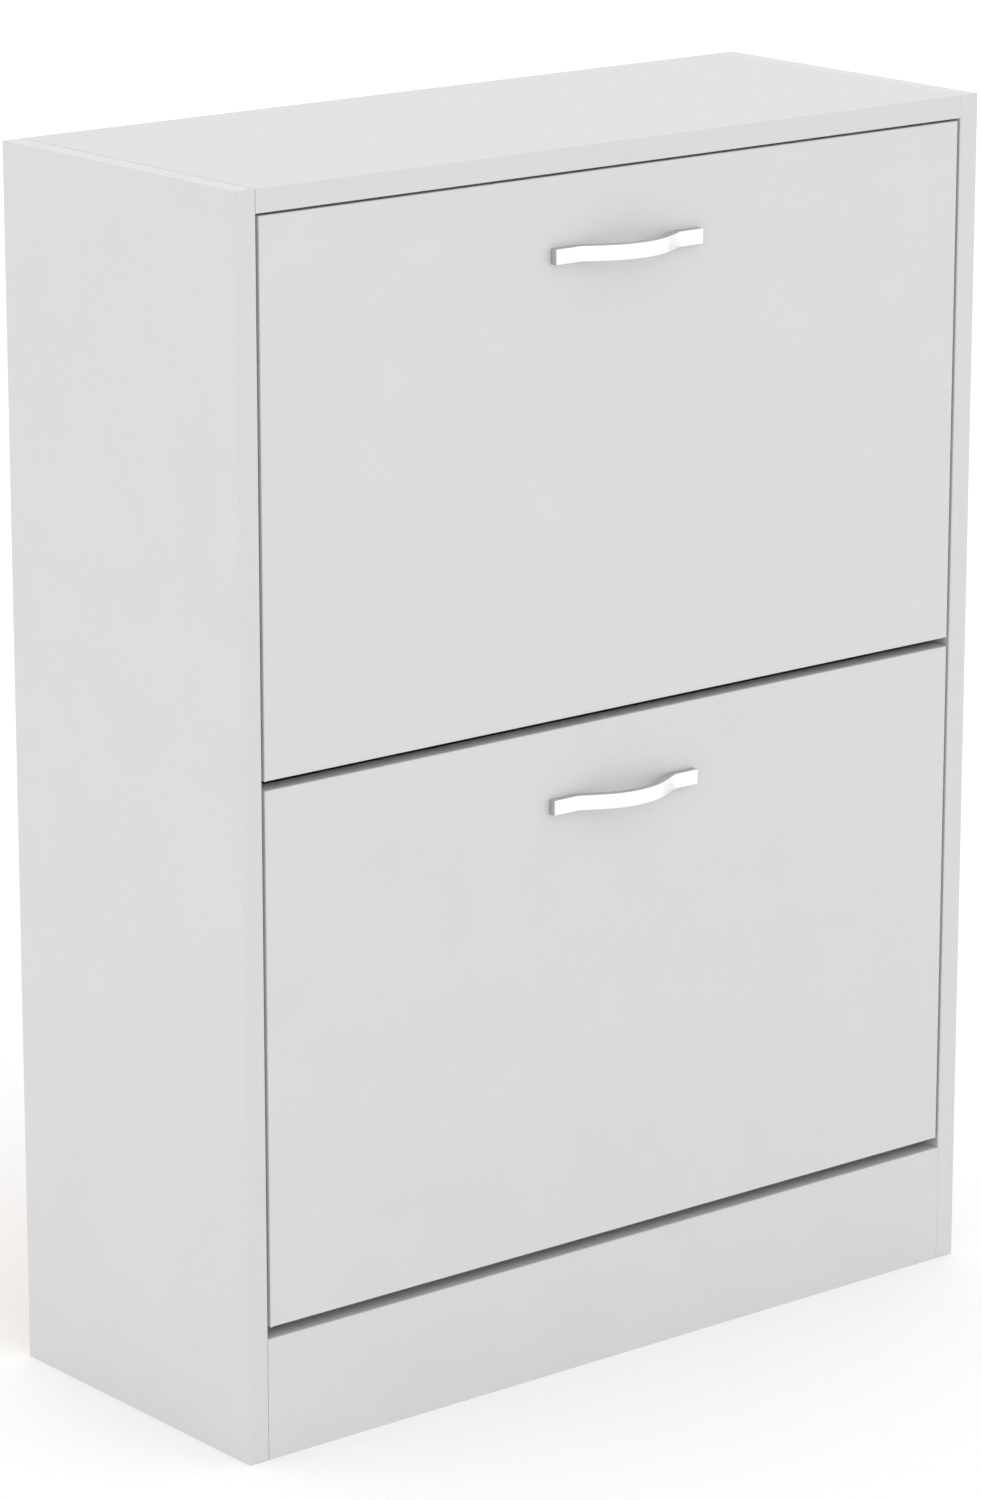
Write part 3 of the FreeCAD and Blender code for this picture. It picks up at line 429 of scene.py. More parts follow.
# Steel, barrel-plated with zinc and blue-passivated. It gives the eye a bright grey metal with a
# faint cold tint in cloudy patches and the barrel's small dents.
ZINC_PLATE = Finish("zinc_plated_steel_passivated", "#C6CAD0", 0.33, None, 1.0, (
    Layer((2.5, 2.5, 2.5), ((0.25, "#BCC1C9"), (0.5, None), (0.8, "#CCCBC6")), spread=0.08,
          detail=3.0),
    Layer((0.6, 0.6, 0.6), depth=0.02, strength=0.6)))
# Zinc alloy, pressure-cast in a steel die and tumbled. It gives the eye a dull mid-grey metal
# with a fine, slightly mottled cast skin.
DIE_CAST = Finish("zinc_alloy_die_cast", "#A9ABAD", 0.5, None, 1.0, (
    Layer((0.8, 0.8, 0.8), ((0.3, "#8F9295"), (0.75, None)), spread=0.08, depth=0.03,
          strength=0.7, detail=4.0),))
# Beech rod, planed to size along X and pressed with glue flutes. It gives the eye a pinkish
# pale wood with short darker flecks along the grain.
BEECH = Finish("beech_planed", "#D8B48A", 0.6, 1.5, layers=(
    Layer((4, 0.5, 0.5), ((0.3, "#B98A5E"), (0.5, None), (0.8, "#E6C9A4")), depth=0.05,
          strength=0.6, detail=3.0),))
# Polypropylene, injection-moulded in a spark-eroded tool. It gives the eye a slightly waxy
# off-white with soft flow marks and an even fine grain. Spark erosion leaves a grain of about
# 0.2 mm, so it is drawn four times as coarse.
POLYPROPYLENE = Finish("polypropylene_moulded", "#D3D4D3", 0.42, 1.49, layers=(
    Layer((12, 12, 45), ((0.3, "#CDCECD"), (0.7, None)), spread=0.05),
    Layer((0.9, 0.9, 0.9), depth=0.03, strength=0.6, detail=1.0)))
# Matt white background paper, rolled out under the cabinet. It gives the eye an even pale floor
# with next to no texture.
PAPER = Finish("background_paper_matt", "#FDFDFD", 0.9, 1.45, layers=(
    Layer((400, 400, 400), spread=0.02),))


# ---- shapes

def box_of(points: Sequence[Vector]) -> tuple[Vector, Vector]:
    """Finds the lowest and the highest corner of the box round some points."""
    columns = list(zip(*points))
    return Vector([min(column) for column in columns]), Vector([max(column) for column in columns])


def quarter_turn(steps: int) -> list[tuple[float, float]]:
    """Gives the cosines and sines of the angles that part a quarter turn in equal steps."""
    angles = [math.pi / 2 * i / steps for i in range(steps + 1)]
    return [(math.cos(angle), math.sin(angle)) for angle in angles]


def join_rows(shape: bmesh.types.BMesh, rows: Sequence[Sequence[bmesh.types.BMVert]],
              closed: bool = True) -> None:
    """Joins rows of points by faces, each row to the next.

    Args:
        shape: the mesh that the points are in.
        rows: the rows, all with the same number of points.
        closed: whether the last point of a row meets its first.
    """
    for first, second in zip(rows, rows[1:]):
        for i in range(len(first) if closed else len(first) - 1):
            j = (i + 1) % len(first)
            shape.faces.new((first[i], first[j], second[j], second[i]))


def make_piece(name: str, shape: bmesh.types.BMesh, finishes: Sequence[Finish], slot: str,
               body: str, stands_for: str) -> bpy.types.Object:
    """Turns a built shape into a piece that rides on a CAD body in place of a CAD node.

    Args:
        name: the piece's name.
        shape: its mesh, in the cabinet's frame, which is freed here.
        finishes: its materials, in the order of its faces' material numbers.
        slot: the record's material slot; it is not used.
        body: the CAD body that it moves with.
        stands_for: the CAD node that it replaces.

    Returns:
        The piece.
    """
    bmesh.ops.recalc_face_normals(shape, faces=shape.faces)
    mesh = bpy.data.meshes.new(name)
    shape.to_mesh(mesh)
    shape.free()
    for finish in finishes:
        mesh.materials.append(finish.material())
    mesh.polygons.foreach_set("use_smooth", [True] * len(mesh.polygons))
    mesh.set_sharp_from_angle(angle=SHARP_EDGE)
    piece = bpy.data.objects.new(name, mesh)
    bpy.context.scene.collection.objects.link(piece)
    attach(piece, body)
    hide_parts(stands_for)
    log.info("built %s for %s: %d faces", name, stands_for, len(mesh.polygons))
    return piece


# ---- boards

def dress(node: str, finishes: Sequence[Finish],
          pick: Callable[[bpy.types.MeshPolygon], int]) -> None:
    """Gives a CAD node its materials and keeps its shape.

    Args:
        node: the CAD node.
        finishes: its finishes.
        pick: gives the number of a polygon's finish.
    """
    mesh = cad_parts[node].data
    mesh.materials.clear()
    for finish in finishes:
        mesh.materials.append(finish.material())
    for polygon in mesh.polygons:
        polygon.material_index = pick(polygon)
    log.info("dressed %s", node)


def dress_board(node: str, low_face: Finish, high_face: Finish, cores: dict[Axis, Finish]) -> None:
    """Dresses a panel: two faces and a core that shows at its edges and holes.

    Args:
        node: the CAD node.
        low_face: the finish of the face on the low side of its thickness.
        high_face: the finish of the opposite face.
        cores: the core's finish for each axis that the thickness may lie along.
    """
    low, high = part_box(node)
    size = high - low
    across = min(Axis, key=lambda axis: size[axis.value])

    def side(polygon: bpy.types.MeshPolygon) -> int:
        """Tells the core, 0, from the low face, 1, and the high face, 2."""
        level = polygon.center[across.value]
        flat = abs(polygon.normal[across.value]) > FLAT_FACING
        on_low = flat and level - low[across.value] < ON_PLANE
        on_high = flat and high[across.value] - level < ON_PLANE
        return 1 if on_low else 2 if on_high else 0

    dress(node, (cores[across], low_face, high_face), side)


def dress_bands(node: str) -> None:
    """Dresses edge bands, each with the finish whose lines follow its run.

    Args:
        node: the CAD node, with several bands as separate solids.
    """
    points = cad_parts[node].data.vertices

    def run(polygon: bpy.types.MeshPolygon) -> int:
        """Finds the axis along which the polygon is longest."""
        low, high = box_of([points[i].co for i in polygon.vertices])
        spans = list(high - low)
        return spans.index(max(spans))

    dress(node, list(BANDS.values()), run)


# ---- handles

@dataclass(frozen=True)
class BowHandle:
    """A bow handle: one bar with a flat foot at each end, bends, straight flanks and a bow.

    Args:
        door: the door that it is screwed to.
        bar: the bar's thickness.
        foot: the length of each flat foot.
        bend: the hollow bend's radius at its front.
        slope: the flanks' angle to the door.
        front_rounding: the rounding of the bar's long front edges.
        back_rounding: the rounding of its long edges against the door.
        end_rounding: the rounding of its two ends.
        step: the distance between two sections of the bar.
        corner_steps: how many flats round one corner of the section.
    """

    # What is left of the section's rounded corners where it is inset.
    LEAST_ROUNDING = 0.1 * MM

    door: Door
    bar: float = 5.4 * MM
    foot: float = 18 * MM
    bend: float = 6 * MM
    slope: float = math.radians(27.5)
    front_rounding: float = 0.7 * MM
    back_rounding: float = 0.3 * MM
    end_rounding: float = 0.5 * MM
    step: float = 0.7 * MM
    corner_steps: int = 4

    @property
    def node(self) -> str:
        """Names the CAD node that the handle stands for."""
        return self.door.value + "_handle"

    def stretches(self, half: float, rise: float) -> list[tuple[float, float]]:
        """Lists the stretches of the bar's middle line, from its middle to one end.

        Args:
            half: half the handle's length.
            rise: how far the bow's front stands out of the feet's front.

        Returns:
            Each stretch's length and its curvature.
        """
        sine, cosine = math.sin(self.slope), math.cos(self.slope)
        foot_x = half - self.foot
        bow = (foot_x * sine - rise * cosine) / (1 - cosine) - self.bend - self.bar / 2
        bend = self.bend + self.bar / 2
        flank = (foot_x - (bend + bow) * sine) / cosine
        return [(bow * self.slope, 1 / bow), (flank, 0.0), (bend * self.slope, -1 / bend),
                (self.foot - self.end_rounding, 0.0)]

    def stations(self) -> list[tuple[float, Vector, Vector, float]]:
        """Walks along the bar's middle line, in plan, from its left end to its right end.

        Returns:
            For each station the distance walked, the point, the way out of the door, and how
            far the section lies inside the full one.
        """
        low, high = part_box(self.node)
        half = (high.x - low.x) / 2
        reach = high.y - low.y
        walked, along, out, angle = 0.0, 0.0, reach - self.bar / 2, 0.0
        right = [(walked, along, out, angle, 0.0)]
        for length, curve in self.stretches(half, reach - self.bar):
            count = max(2, round(length / self.step))
            part = length / count
            for _ in range(count):
                turn = curve * part
                chord = part if curve == 0 else 2 * math.sin(turn / 2) / curve
                along += chord * math.cos(angle + turn / 2)
                out -= chord * math.sin(angle + turn / 2)
                angle += turn
                walked += part
                right.append((walked, along, out, angle, 0.0))
        for cosine, sine in quarter_turn(self.corner_steps)[1:]:
            past = self.end_rounding * sine
            right.append((walked + past, along + past, out, 0.0, self.end_rounding * (1 - cosine)))
        found = []
        for sign, half_bar in ((-1, reversed(right[1:])), (1, right)):
            for distance, x, y, turned, inset in half_bar:
                point = Vector(((low.x + high.x) / 2 + sign * x, high.y - y, (low.z + high.z) / 2))
                outward = Vector((sign * math.sin(turned), -math.cos(turned), 0))
                found.append((sign * distance, point, outward, inset))
        return found

    def section(self, inset: float) -> list[tuple[float, float]]:
        """Draws the bar's section: a rectangle with rounded corners.

        Args:
            inset: how far the outline lies inside the full one.

        Returns:
            Its points, as distances out of the door and up.
        """
        low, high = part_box(self.node)
        half_out = self.bar / 2 - inset
        half_up = (high.z - low.z) / 2 - inset
        points = []
        for quarter, (out, up) in enumerate(((1, 1), (-1, 1), (-1, -1), (1, -1))):
            full = self.front_rounding if out > 0 else self.back_rounding
            radius = max(full - inset, self.LEAST_ROUNDING)
            for i in range(self.corner_steps + 1):
                angle = math.pi / 2 * (quarter + i / self.corner_steps)
                points.append((out * (half_out - radius) + radius * math.cos(angle),
                               up * (half_up - radius) + radius * math.sin(angle)))
        return points

    def build(self) -> bpy.types.Object:
        """Builds the bar section by section, with its map along the bar, and gives its top and bottom
        edges and its ends a painted shade.

        Returns:
            The handle.
        """
        shape = bmesh.new()
        stations = self.stations()
        rings = []
        for _, point, outward, inset in stations:
            rings.append([shape.verts.new(point + outward * out + Vector((0, 0, up)))
                          for out, up in self.section(inset)])
        around = [0.0]
        outline = self.section(0.0)
        for (a, b), (c, d) in zip(outline, outline[1:] + outline[:1]):
            around.append(around[-1] + math.hypot(c - a, d - b))
        layer = shape.loops.layers.uv.new(BAR_MAP)
        walk = [station[0] for station in stations]
        full = [station[3] == 0 for station in stations]
        for index, (first, second) in enumerate(zip(rings, rings[1:])):
            u0, u1 = walk[index], walk[index + 1]
            for i in range(len(first)):
                j = (i + 1) % len(first)
                face = shape.faces.new((first[i], first[j], second[j], second[i]))
                face.normal_update()
                # Faces of the bar's top and bottom and of its rounded ends take finish 1, a painted
                # shade.
                without_painted_shade = full[index] and full[index + 1] and abs(face.normal.z) < EDGE_FACING
                face.material_index = 0 if without_painted_shade else 1
                corners = ((u0, around[i]), (u0, around[i + 1]), (u1, around[i + 1]), (u1, around[i]))
                for loop, corner in zip(face.loops, corners):
                    loop[layer].uv = corner
        # Both end caps take the painted shade as well.
        for ring in (rings[0], rings[-1]):
            cap = shape.faces.new(ring)
            cap.material_index = 1
            for loop in cap.loops:
                loop[layer].uv = (loop.vert.co.y, loop.vert.co.z)
        return make_piece(self.door.value + "_bow_handle", shape, [ALUMINIUM, PAINTED_SHADE_EDGE],
                          "anodised_aluminium", self.door.body, self.node)


# ---- small hardware

Point = tuple[float, float, float]


def solids_of(node: str) -> list[list[Vector]]:
    """Splits a CAD node into its separate solids.

    Args:
        node: the CAD node.

    Returns:
        The corner points of each solid.
    """
    shape = bmesh.new()
    shape.from_mesh(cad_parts[node].data)
    bmesh.ops.remove_doubles(shape, verts=shape.verts, dist=WELD)
    found = []
    seen = set()
    for start in shape.verts:
        if start in seen:
            continue
        seen.add(start)
        waiting = [start]
        points = []
        while waiting:
            corner = waiting.pop()
            points.append(corner.co.copy())
            for edge in corner.link_edges:
                other = edge.other_vert(corner)
                if other not in seen:
                    seen.add(other)
                    waiting.append(other)
        found.append(points)
    shape.free()
    return found


@dataclass(frozen=True)
class SmallParts:
    """Small parts that one piece holds, in place of a CAD node.

    Args:
        node: the CAD node.
        piece: the piece's name.
        body: the CAD body that it moves with.
        slot: the record's material slot.
        finish: its finish.
    """

    node: str
    piece: str
    body: str
    slot: str
    finish: Finish

    def as_piece(self, shape: bmesh.types.BMesh) -> bpy.types.Object:
        """Turns their built shape into the piece."""
        return make_piece(self.piece, shape, [self.finish], self.slot, self.body, self.node)


@dataclass(frozen=True)
class TurnedSet(SmallParts):
    """Round parts of one kind, each in the place of one solid of the node."""

    # Points round a part, as many as the outline of a screw's cross recess has.
    AROUND = 24

    def outlines(self, radius: float, length: float) -> list[list[Point]]:
        """Gives the part's rings, from its outer end to its inner end.

        Args:
            radius: the largest radius.
            length: the whole length.

        Returns:
            The rings, each with the same number of points, as across, up and along.
        """
        raise NotImplementedError

    def ring(self, radius: float, along: float) -> list[Point]:
        """Draws a round ring of a radius at a place along the part."""
        angles = [2 * math.pi * i / self.AROUND for i in range(self.AROUND)]
        return [(radius * math.cos(angle), radius * math.sin(angle), along) for angle in angles]

    def lie(self, points: list[Vector]) -> tuple[Matrix, float, float]:
        """Finds how a solid lies, by its longest side and the end where it is widest.

        Args:
            points: the solid's corner points.

        Returns:
            The turn and shift from its outer end inwards, the radius and the length.
        """
        low, high = box_of(points)
        size = high - low
        axis = max(range(3), key=lambda i: size[i])
        middle = (low + high) / 2
        radius = min(size) / 2
        wide = []
        for point in points:
            along = point[axis] - middle[axis]
            if (point - middle).length_squared - along ** 2 > (AT_RIM * radius) ** 2:
                wide.append(along)
        lean = sum(wide) / len(wide)
        headed = abs(lean) > HEAD_LEAN * size[axis]
        outward = math.copysign(1.0, lean if headed else -middle[axis])
        out = Vector([outward if i == axis else 0.0 for i in range(3)])
        turn = (-out).to_track_quat("Z", "Y").to_matrix().to_4x4()
        start = middle + out * size[axis] / 2
        return Matrix.Translation(start) @ turn, radius, size[axis]

    def build(self) -> bpy.types.Object:
        """Builds every part of the set.

        Returns:
            The piece.
        """
        shape = bmesh.new()
        for points in solids_of(self.node):
            place, radius, length = self.lie(points)
            rings = [[shape.verts.new(place @ Vector(point)) for point in ring]
                     for ring in self.outlines(radius, length)]
            join_rows(shape, rings)
            for ring in (rings[0], rings[-1]):
                hub = shape.verts.new(sum((vert.co for vert in ring), Vector()) / len(ring))
                for i in range(self.AROUND):
                    shape.faces.new((ring[i], ring[(i + 1) % self.AROUND], hub))
        return self.as_piece(shape)


@dataclass(frozen=True)
class PanScrews(TurnedSet):
    """Pan-head screws with a cross recess and a rolled thread.

    Args:
        thread: the thread's outer radius.
        pitch: the thread's pitch.
        point: the length of the pointed tip, 0 for a machine screw.
        head: the head's height.
        head_edge: the head's straight edge.
        head_rounding: the rounding where the head's straight edge ends.
        thread_depth: the thread's depth.
        ridge: the half width of the thread's ridge, as a share of the pitch.
        rings_a_turn: how many rings draw one turn of the thread.
        arm: the recess's arm, from its middle.
        arm_half: half an arm's width.
        recess: the recess's depth.
        taper: the size of the recess at its bottom, as a share of that at its mouth.
        blunt: the radius of the pointed tip's end.
    """

    # Where the dome has rings, as shares of the way from the recess's mouth to its rim.
    DOME_RINGS = (0.35, 0.7)
    # The dome's rim and the head's lower edge, as shares of the head's radius.
    RIM, UNDERSIDE = 0.97, 0.96
    # The neck under the head and a blunt tip, as shares of the thread's radius.
    NECK, TIP = 0.8, 0.7

    thread: float = 1.75 * MM
    pitch: float = 1.6 * MM
    point: float = 3.5 * MM
    head: float = 2.4 * MM
    head_edge: float = 0.9 * MM
    head_rounding: float = 0.1 * MM
    thread_depth: float = 0.45 * MM
    ridge: float = 0.3
    rings_a_turn: int = 6
    arm: float = 2.0 * MM
    arm_half: float = 0.5 * MM
    recess: float = 1.5 * MM
    taper: float = 0.45
    blunt: float = 0.05 * MM

    def cross(self, size: float, depth: Callable[[float], float]) -> list[Point]:
        """Draws the outline of the cross recess.

        Args:
            size: its size, 1 at the head's surface.
            depth: gives the depth at a distance from the middle.

        Returns:
            The ring, with as many points as a round one.
        """
        long, half = self.arm * size, self.arm_half * size
        between = (long + half) / 2
        quarter = ((long, 0.0), (long, half), (between, half), (half, half), (half, between),
                   (half, long))
        points = []
        for turn in range(4):
            cosine = round(math.cos(math.pi / 2 * turn))
            sine = round(math.sin(math.pi / 2 * turn))
            for x, y in quarter:
                points.append((x * cosine - y * sine, x * sine + y * cosine,
                               depth(math.hypot(x, y))))
        return points

    def outlines(self, radius: float, length: float) -> list[list[Point]]:
        """Gives the head with its recess, then the thread down to the tip.

        Args:
            radius: the largest radius.
            length: the whole length.

        Returns:
            The rings, from its outer end to its inner end.
        """
        crown = self.head - self.head_edge
        ball = (radius ** 2 + crown ** 2) / (2 * crown)

        def dome(from_middle: float) -> float:
            """Gives the head's depth below its top at a distance from its middle."""
            return ball - math.sqrt(ball ** 2 - from_middle ** 2)

        mouth = self.cross(1.0, dome)
        rim = self.ring(radius * self.RIM, dome(radius * self.RIM))
        rings = [self.cross(self.taper, lambda _: self.recess), mouth]
        for share in self.DOME_RINGS:
            blend = [(a[0] + (b[0] - a[0]) * share, a[1] + (b[1] - a[1]) * share)
                     for a, b in zip(mouth, rim)]
            rings.append([(x, y, dome(math.hypot(x, y))) for x, y in blend])
        rings += [rim,
                  self.ring(radius, crown + self.head_rounding),
                  self.ring(radius, self.head - self.head_rounding),
                  self.ring(radius * self.UNDERSIDE, self.head),
                  self.ring(self.thread * self.NECK, self.head)]
        rings += self.threads(length)
        rings.append(self.ring(self.blunt if self.point else self.thread * self.TIP, length))
        return rings

    def threads(self, length: float) -> list[list[Point]]:
        """Draws the thread as rings whose radius follows its helix.

        Args:
            length: the whole screw's length.

        Returns:
            The rings, from the head to the tip.
        """
        core = self.thread - self.thread_depth
        step = self.pitch / self.rings_a_turn
        rings = []
        for index in range(1, int((length - self.head) / step)):
            along = self.head + index * step
            slim = min(1.0, (length - along) / self.point) if self.point else 1.0
            ring = []
            for i in range(self.AROUND):
                phase = (along / self.pitch - i / self.AROUND) % 1.0
                rise = max(0.0, 1.0 - abs(phase - 0.5) / self.ridge)
                radius = (core + self.thread_depth * rise) * slim
                angle = 2 * math.pi * i / self.AROUND
                ring.append((radius * math.cos(angle), radius * math.sin(angle), along))
            rings.append(ring)
        return rings


@dataclass(frozen=True)
class PanelNails(TurnedSet):
    """Wire nails with a flat head, rounded at its rim, and a cut point.

    Args:
        shank: the shank's radius.
        neck: how deep below the head's top the shank begins.
        point: the point's length.
        blunt: the radius of the point's end.
    """

    # The head's outline, as shares of its radius and depths below its top.
    RIM = ((0.55, 0.0), (0.86, 0.05 * MM), (0.97, 0.18 * MM), (1.0, 0.38 * MM), (0.95, 0.72 * MM),
           (0.5, 0.8 * MM))

    shank: float = 0.8 * MM
    neck: float = 1.3 * MM
    point: float = 2.4 * MM
    blunt: float = 0.08 * MM

    def outlines(self, radius: float, length: float) -> list[list[Point]]:
        """Gives the head, the shank and the point."""
        head = [self.ring(radius * share, along) for share, along in self.RIM]
        return head + [self.ring(self.shank, self.neck),
                       self.ring(self.shank, length - self.point),
                       self.ring(self.blunt, length)]


@dataclass(frozen=True)
class FlutedDowels(TurnedSet):
    """Beech dowels with pressed glue flutes and chamfered ends.

    Args:
        chamfer: the chamfer of both ends.
        flute: the flutes' depth.
    """

    chamfer: float = 0.9 * MM
    flute: float = 0.3 * MM

    def outlines(self, radius: float, length: float) -> list[list[Point]]:
        """Gives the chamfers and the fluted body.

        Args:
            radius: the largest radius.
            length: the whole length.

        Returns:
            The rings, from its outer end to its inner end.
        """
        rings = [self.ring(radius - self.chamfer, 0.0)]
        for along in (self.chamfer, length - self.chamfer):
            crests, valleys = self.ring(radius, along), self.ring(radius - self.flute, along)
            rings.append([valleys[i] if i % 2 else crests[i] for i in range(self.AROUND)])
        return rings + [self.ring(radius - self.chamfer, length)]


@dataclass(frozen=True)
class SteelPins(TurnedSet):
    """Plain turned pins with rounded ends.

    Args:
        rounding: the rounding of both ends.
        steps: how many flats draw it.
    """

    rounding: float = 0.7 * MM
    steps: int = 3

    def outlines(self, radius: float, length: float) -> list[list[Point]]:
        """Gives both rounded ends, with the straight body between them."""
        ends = [(radius - self.rounding * (1 - sine), self.rounding * (1 - cosine))
                for cosine, sine in quarter_turn(self.steps)]
        return ([self.ring(r, along) for r, along in ends]
                + [self.ring(r, length - along) for r, along in reversed(ends)])


@dataclass(frozen=True)
class SoftenedPart(SmallParts):
    """A moulded or cast part: the CAD shape with its outer edges rounded as its mould rounds them.

    Args:
        rounding: the radius of its edges.
    """

    rounding: float

    def build(self) -> bpy.types.Object:
        """Rounds the shape's outer edges.

        Returns:
            The piece.
        """
        shape = bmesh.new()
        shape.from_mesh(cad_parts[self.node].data)
        bmesh.ops.remove_doubles(shape, verts=shape.verts, dist=WELD)
        bmesh.ops.dissolve_limit(shape, angle_limit=FLAT_EDGE, verts=shape.verts,
                                 edges=shape.edges, use_dissolve_boundaries=False)
        outer = [edge for edge in shape.edges if edge.is_convex
                 and edge.calc_face_angle(0.0) > SHARP_EDGE]
        bmesh.ops.bevel(shape, geom=outer, offset=self.rounding, offset_type="OFFSET", segments=2,
                        profile=0.5, affect="EDGES", clamp_overlap=False)
        return self.as_piece(shape)


@dataclass(frozen=True)
class WallAngles:
    """Two angles of bent sheet steel, with rounded corners and a hole in each leg.

    Args:
        node: the CAD node.
        sheet: the steel's thickness.
        bend: the bend's outer radius.
        corner: the rounding of the legs' free corners.
        wall_hole: the radius of the hole for the wall screw.
        board_hole: the radius of the hole for the screw into the top panel.
        edge_rounding: the rounding of the sheet's edges.
        across: how many flats run across an angle.
        bend_steps: how many flats draw the bend.
        corner_steps: how many flats draw a rounded corner.
    """

    # Where a leg's rings lie, as shares of the way from its hole to its outline.
    LEG_RINGS = (0.0, 0.25, 1.0)
    # The sheet's edges turn more than this and its bend turns less.
    EDGE_TURN = math.radians(50)

    node: str = "wall_brackets"
    sheet: float = 1.5 * MM
    bend: float = 3.2 * MM
    corner: float = 4 * MM
    wall_hole: float = 3 * MM
    board_hole: float = 1.85 * MM
    edge_rounding: float = 0.25 * MM
    across: int = 6
    bend_steps: int = 6
    corner_steps: int = 5

    def leg_outline(self, half: float, length: float) -> list[tuple[float, float]]:
        """Draws one leg, from its bend to its free end.

        Args:
            half: half its width.
            length: its flat length.

        Returns:
            Its outline, as across and away from the bend; the first points lie on the bend.
        """
        straight = length - self.corner
        flat = half - self.corner
        right = [(half, straight * share) for share in (1 / 3, 2 / 3)]
        right += [(flat + self.corner * cosine, straight + self.corner * sine)
                  for cosine, sine in quarter_turn(self.corner_steps)]
        right += [(flat * share, length) for share in (2 / 3, 1 / 3)]
        left = [(-x, y) for x, y in reversed(right)]
        on_bend = [(half * (2 * i / self.across - 1), 0.0) for i in range(self.across + 1)]
        return on_bend + right + [(0.0, length)] + left

    def flat_sheet(self, half: float, leg: float) -> bmesh.types.BMesh:
        """Lays out the flat blank: both legs with their holes, and the strip that is bent.

        Args:
            half: half the width.
            leg: each leg's length from the outer corner.

        Returns:
            The blank, with X across it and Y along it, 0 at the bend's middle.
        """
        blank = bmesh.new()
        half_bend = self.bend * math.pi / 4
        flat = leg - self.bend
        outline = self.leg_outline(half, flat)
        seams = []
        for way, radius in ((-1, self.board_hole), (1, self.wall_hole)):
            hole_y = leg / 2 - self.bend
            rings = []
            for share in self.LEG_RINGS:
                ring = []
                for x, y in outline:
                    angle = math.atan2(y - hole_y, x)
                    near = radius * math.cos(angle), hole_y + radius * math.sin(angle)
                    at = [a + (b - a) * share for a, b in zip(near, (x, y))]
                    ring.append(blank.verts.new((at[0], way * (half_bend + at[1]), 0)))
                rings.append(ring)
            join_rows(blank, rings)
            seams.append(rings[-1][:self.across + 1])
        rows = [seams[0]]
        for step in range(1, self.bend_steps):
            y = half_bend * (2 * step / self.bend_steps - 1)
            rows.append([blank.verts.new((vert.co.x, y, 0)) for vert in seams[0]])
        rows.append(seams[1])
        join_rows(blank, rows, closed=False)
        return blank

    def bent(self, middle: float, corner: Vector, x: float, y: float, depth: float) -> Vector:
        """Bends a point of the blank to its place.

        Args:
            middle: the angle's middle along X.
            corner: the outer corner, where top panel and back panel meet.
            x: the point's place across the blank.
            y: its place along the blank, 0 at the bend's middle.
            depth: its depth in the sheet, 0 at the outer face.

        Returns:
            The point in the cabinet's frame.
        """
        half_bend = self.bend * math.pi / 4
        turned = min(max(y + half_bend, 0.0), 2 * half_bend) / self.bend
        sine, cosine = math.sin(turned), math.cos(turned)
        straight = abs(y) - half_bend
        place = Vector((middle + x, corner.y - self.bend + (self.bend - depth) * sine,
                        corner.z - self.bend + (self.bend - depth) * cosine))
        if straight > 0:
            place += Vector((0, -straight, 0)) if y < 0 else Vector((0, 0, -straight))
        return place

    def build(self) -> bpy.types.Object:
        """Bends both angles out of their blanks.

        Returns:
            The piece.
        """
        shape = bmesh.new()
        for points in solids_of(self.node):
            low, high = box_of(points)
            middle = (low.x + high.x) / 2
            blank = self.flat_sheet((high.x - low.x) / 2, high.z - low.z)
            skins = []
            for depth in (0.0, self.sheet):
                skins.append({vert: shape.verts.new(
                    self.bent(middle, high, vert.co.x, vert.co.y, depth)) for vert in blank.verts})
            for face in blank.faces:
                shape.faces.new([skins[0][vert] for vert in face.verts])
                shape.faces.new([skins[1][vert] for vert in reversed(face.verts)])
            for edge in blank.edges:
                if edge.is_boundary:
                    a, b = edge.verts
                    shape.faces.new((skins[0][a], skins[0][b], skins[1][b], skins[1][a]))
            blank.free()
        piece = make_piece("bent_wall_angles", shape, [ZINC_PLATE], "zinc_plated_steel", "carcass",
                           self.node)
        rounding = piece.modifiers.new("tumbled_edges", "BEVEL")
        rounding.width = self.edge_rounding
        rounding.segments = 2
        rounding.angle_limit = self.EDGE_TURN
        return piece


# ---- the cabinet

@dataclass
class Carcass:
    """The standing part: side panels, top, bottom, shelf, plinth, back and their fasteners."""

    boards: Sequence[str] = ("left_side_panel", "right_side_panel", "top_panel", "bottom_panel",
                             "middle_shelf", "plinth")

    def build(self) -> None:
        """Dresses every piece of the carcass."""
        for node in self.boards:
            dress_board(node, MELAMINE, MELAMINE, CHIPBOARD)
        dress_board("back_panel", LACQUER, HARDBOARD, SHEET_CORE)
        dress_bands("carcass_edge_bands")
        steel = ("carcass", "zinc_plated_steel", ZINC_PLATE)
        PanelNails("back_panel_nails", "panel_nails", *steel).build()
        dress("cam_bolts", [ZINC_PLATE], lambda _: 0)
        SoftenedPart("cam_locks", "cast_cam_locks", "carcass", "zinc_alloy", DIE_CAST,
                     0.12 * MM).build()
        FlutedDowels("wooden_dowels", "fluted_dowels", "carcass", "beech", BEECH).build()
        WallAngles().build()
        PanScrews("wall_bracket_screws", "wall_angle_screws", *steel).build()
        SteelPins("pivot_pins", "rounded_pivot_pins", *steel).build()
        SteelPins("stop_pins", "rounded_stop_pins", *steel).build()


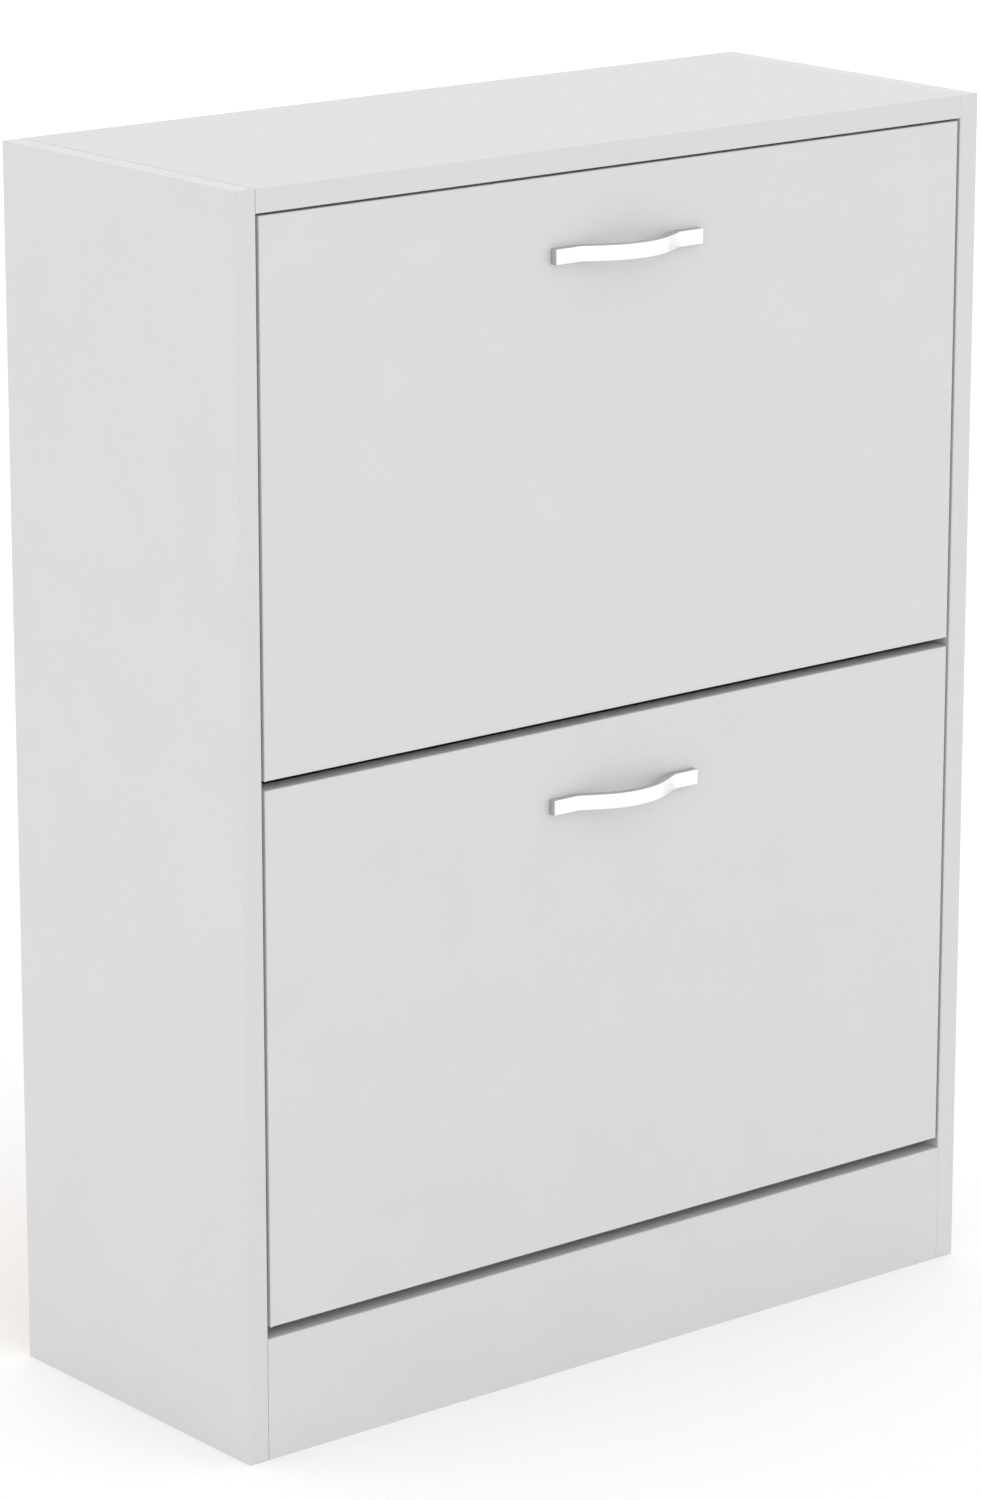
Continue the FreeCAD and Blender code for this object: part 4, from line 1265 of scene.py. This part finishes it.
@dataclass
class TipDoor:
    """One tip-out door with its handle, its brackets and the boards of its bucket."""

    door: Door
    sheets: Sequence[str] = ("front_floor", "divider", "rear_floor", "rear_board")

    def build(self) -> None:
        """Dresses or builds every piece of the door."""
        name = self.door.value
        dress_board(name + "_door", MELAMINE, MELAMINE, CHIPBOARD)
        dress_bands(name + "_door_edge_bands")
        for sheet in self.sheets:
            dress_board(name + "_" + sheet, LACQUER, LACQUER, SHEET_CORE)
        BowHandle(self.door).build()
        steel = (self.door.body, "zinc_plated_steel", ZINC_PLATE)
        PanScrews(name + "_handle_screws", name + "_machine_screws", *steel, thread=2.0 * MM,
                  pitch=1.0 * MM, point=0.0, thread_depth=0.3 * MM, rings_a_turn=4).build()
        for side in ("left", "right"):
            SoftenedPart("%s_%s_bracket" % (name, side), "%s_%s_moulded_bracket" % (name, side),
                         self.door.body, "bracket_plastic", POLYPROPYLENE, 0.3 * MM).build()
        PanScrews(name + "_bracket_screws", name + "_wood_screws", *steel).build()


# ---- studio

def direction(azimuth: float, elevation: float) -> Vector:
    """Points from the cabinet to a viewer, by degrees round it from its front and above it."""
    a, e = math.radians(azimuth), math.radians(elevation)
    return Vector((math.sin(a) * math.cos(e), -math.cos(a) * math.cos(e), math.sin(e)))


@dataclass
class Studio:
    """The white studio round the cabinet: floor, even light and the camera."""

    sky: str = "#FFFFFF"
    horizon_strength: float = 1.18
    zenith_strength: float = 1.10
    floor_width: float = 40.0
    camera_azimuth: float = -39.08
    camera_elevation: float = 15.31
    camera_distance: float = 3.688
    camera_lens: float = 136.2
    aim_offset: Vector = field(default_factory=lambda: Vector((-12.7, 5.9, -12.7)) * MM)

    def centre(self) -> Vector:
        """Finds the middle of the CAD model's box."""
        return (CAD_BOX[0] + CAD_BOX[1]) / 2

    def lay_floor(self) -> None:
        """Lays the pale floor under the cabinet."""
        shape = bmesh.new()
        bmesh.ops.create_grid(shape, x_segments=8, y_segments=8, size=self.floor_width / 2)
        mesh = bpy.data.meshes.new("studio_floor")
        shape.to_mesh(mesh)
        shape.free()
        mesh.materials.append(PAPER.material())
        floor = bpy.data.objects.new("studio_floor", mesh)
        floor.location.z = CAD_BOX[0].z
        bpy.context.scene.collection.objects.link(floor)

    def light(self) -> None:
        """Lights the room evenly from all round, as a white tent does."""
        world = bpy.data.worlds.new("studio_light")
        world.use_nodes = True
        backdrop = world.node_tree.nodes["Background"]
        backdrop.inputs["Color"].default_value = linear(self.sky)
        way = add_node(world.node_tree, "SeparateXYZ", links={
            "Vector": add_node(world.node_tree, "TexCoord").outputs["Generated"]})
        fade = add_node(world.node_tree, "MapRange", {"To Min": self.horizon_strength,
                                                      "To Max": self.zenith_strength},
                        {"Value": way.outputs["Z"]})
        world.node_tree.links.new(fade.outputs["Result"], backdrop.inputs["Strength"])
        scene = bpy.context.scene
        scene.world = world
        scene.view_settings.view_transform = "Standard"

    def set_camera(self) -> None:
        """Stands the camera in front of the cabinet, at its left, a little above it."""
        lens = bpy.data.cameras.new("studio_camera")
        lens.lens = self.camera_lens
        lens.clip_end = 100.0
        back = direction(self.camera_azimuth, self.camera_elevation)
        camera = bpy.data.objects.new("studio_camera", lens)
        camera.location = self.centre() + self.aim_offset + back * self.camera_distance
        camera.rotation_euler = back.to_track_quat("Z", "Y").to_euler()
        bpy.context.scene.collection.objects.link(camera)
        bpy.context.scene.camera = camera

    def build(self) -> None:
        """Sets up the whole studio."""
        self.lay_floor()
        self.light()
        self.set_camera()
        log.info("studio set up")


def write_sizes() -> None:
    """Brings the view layer up to date."""
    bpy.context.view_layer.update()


def main() -> None:
    """Builds the cabinet and its studio."""
    logging.basicConfig(level=logging.INFO, format="%(message)s")
    Carcass().build()
    for door in Door:
        TipDoor(door).build()
    Studio().build()
    write_sizes()


if __name__ == "__main__":
    main()
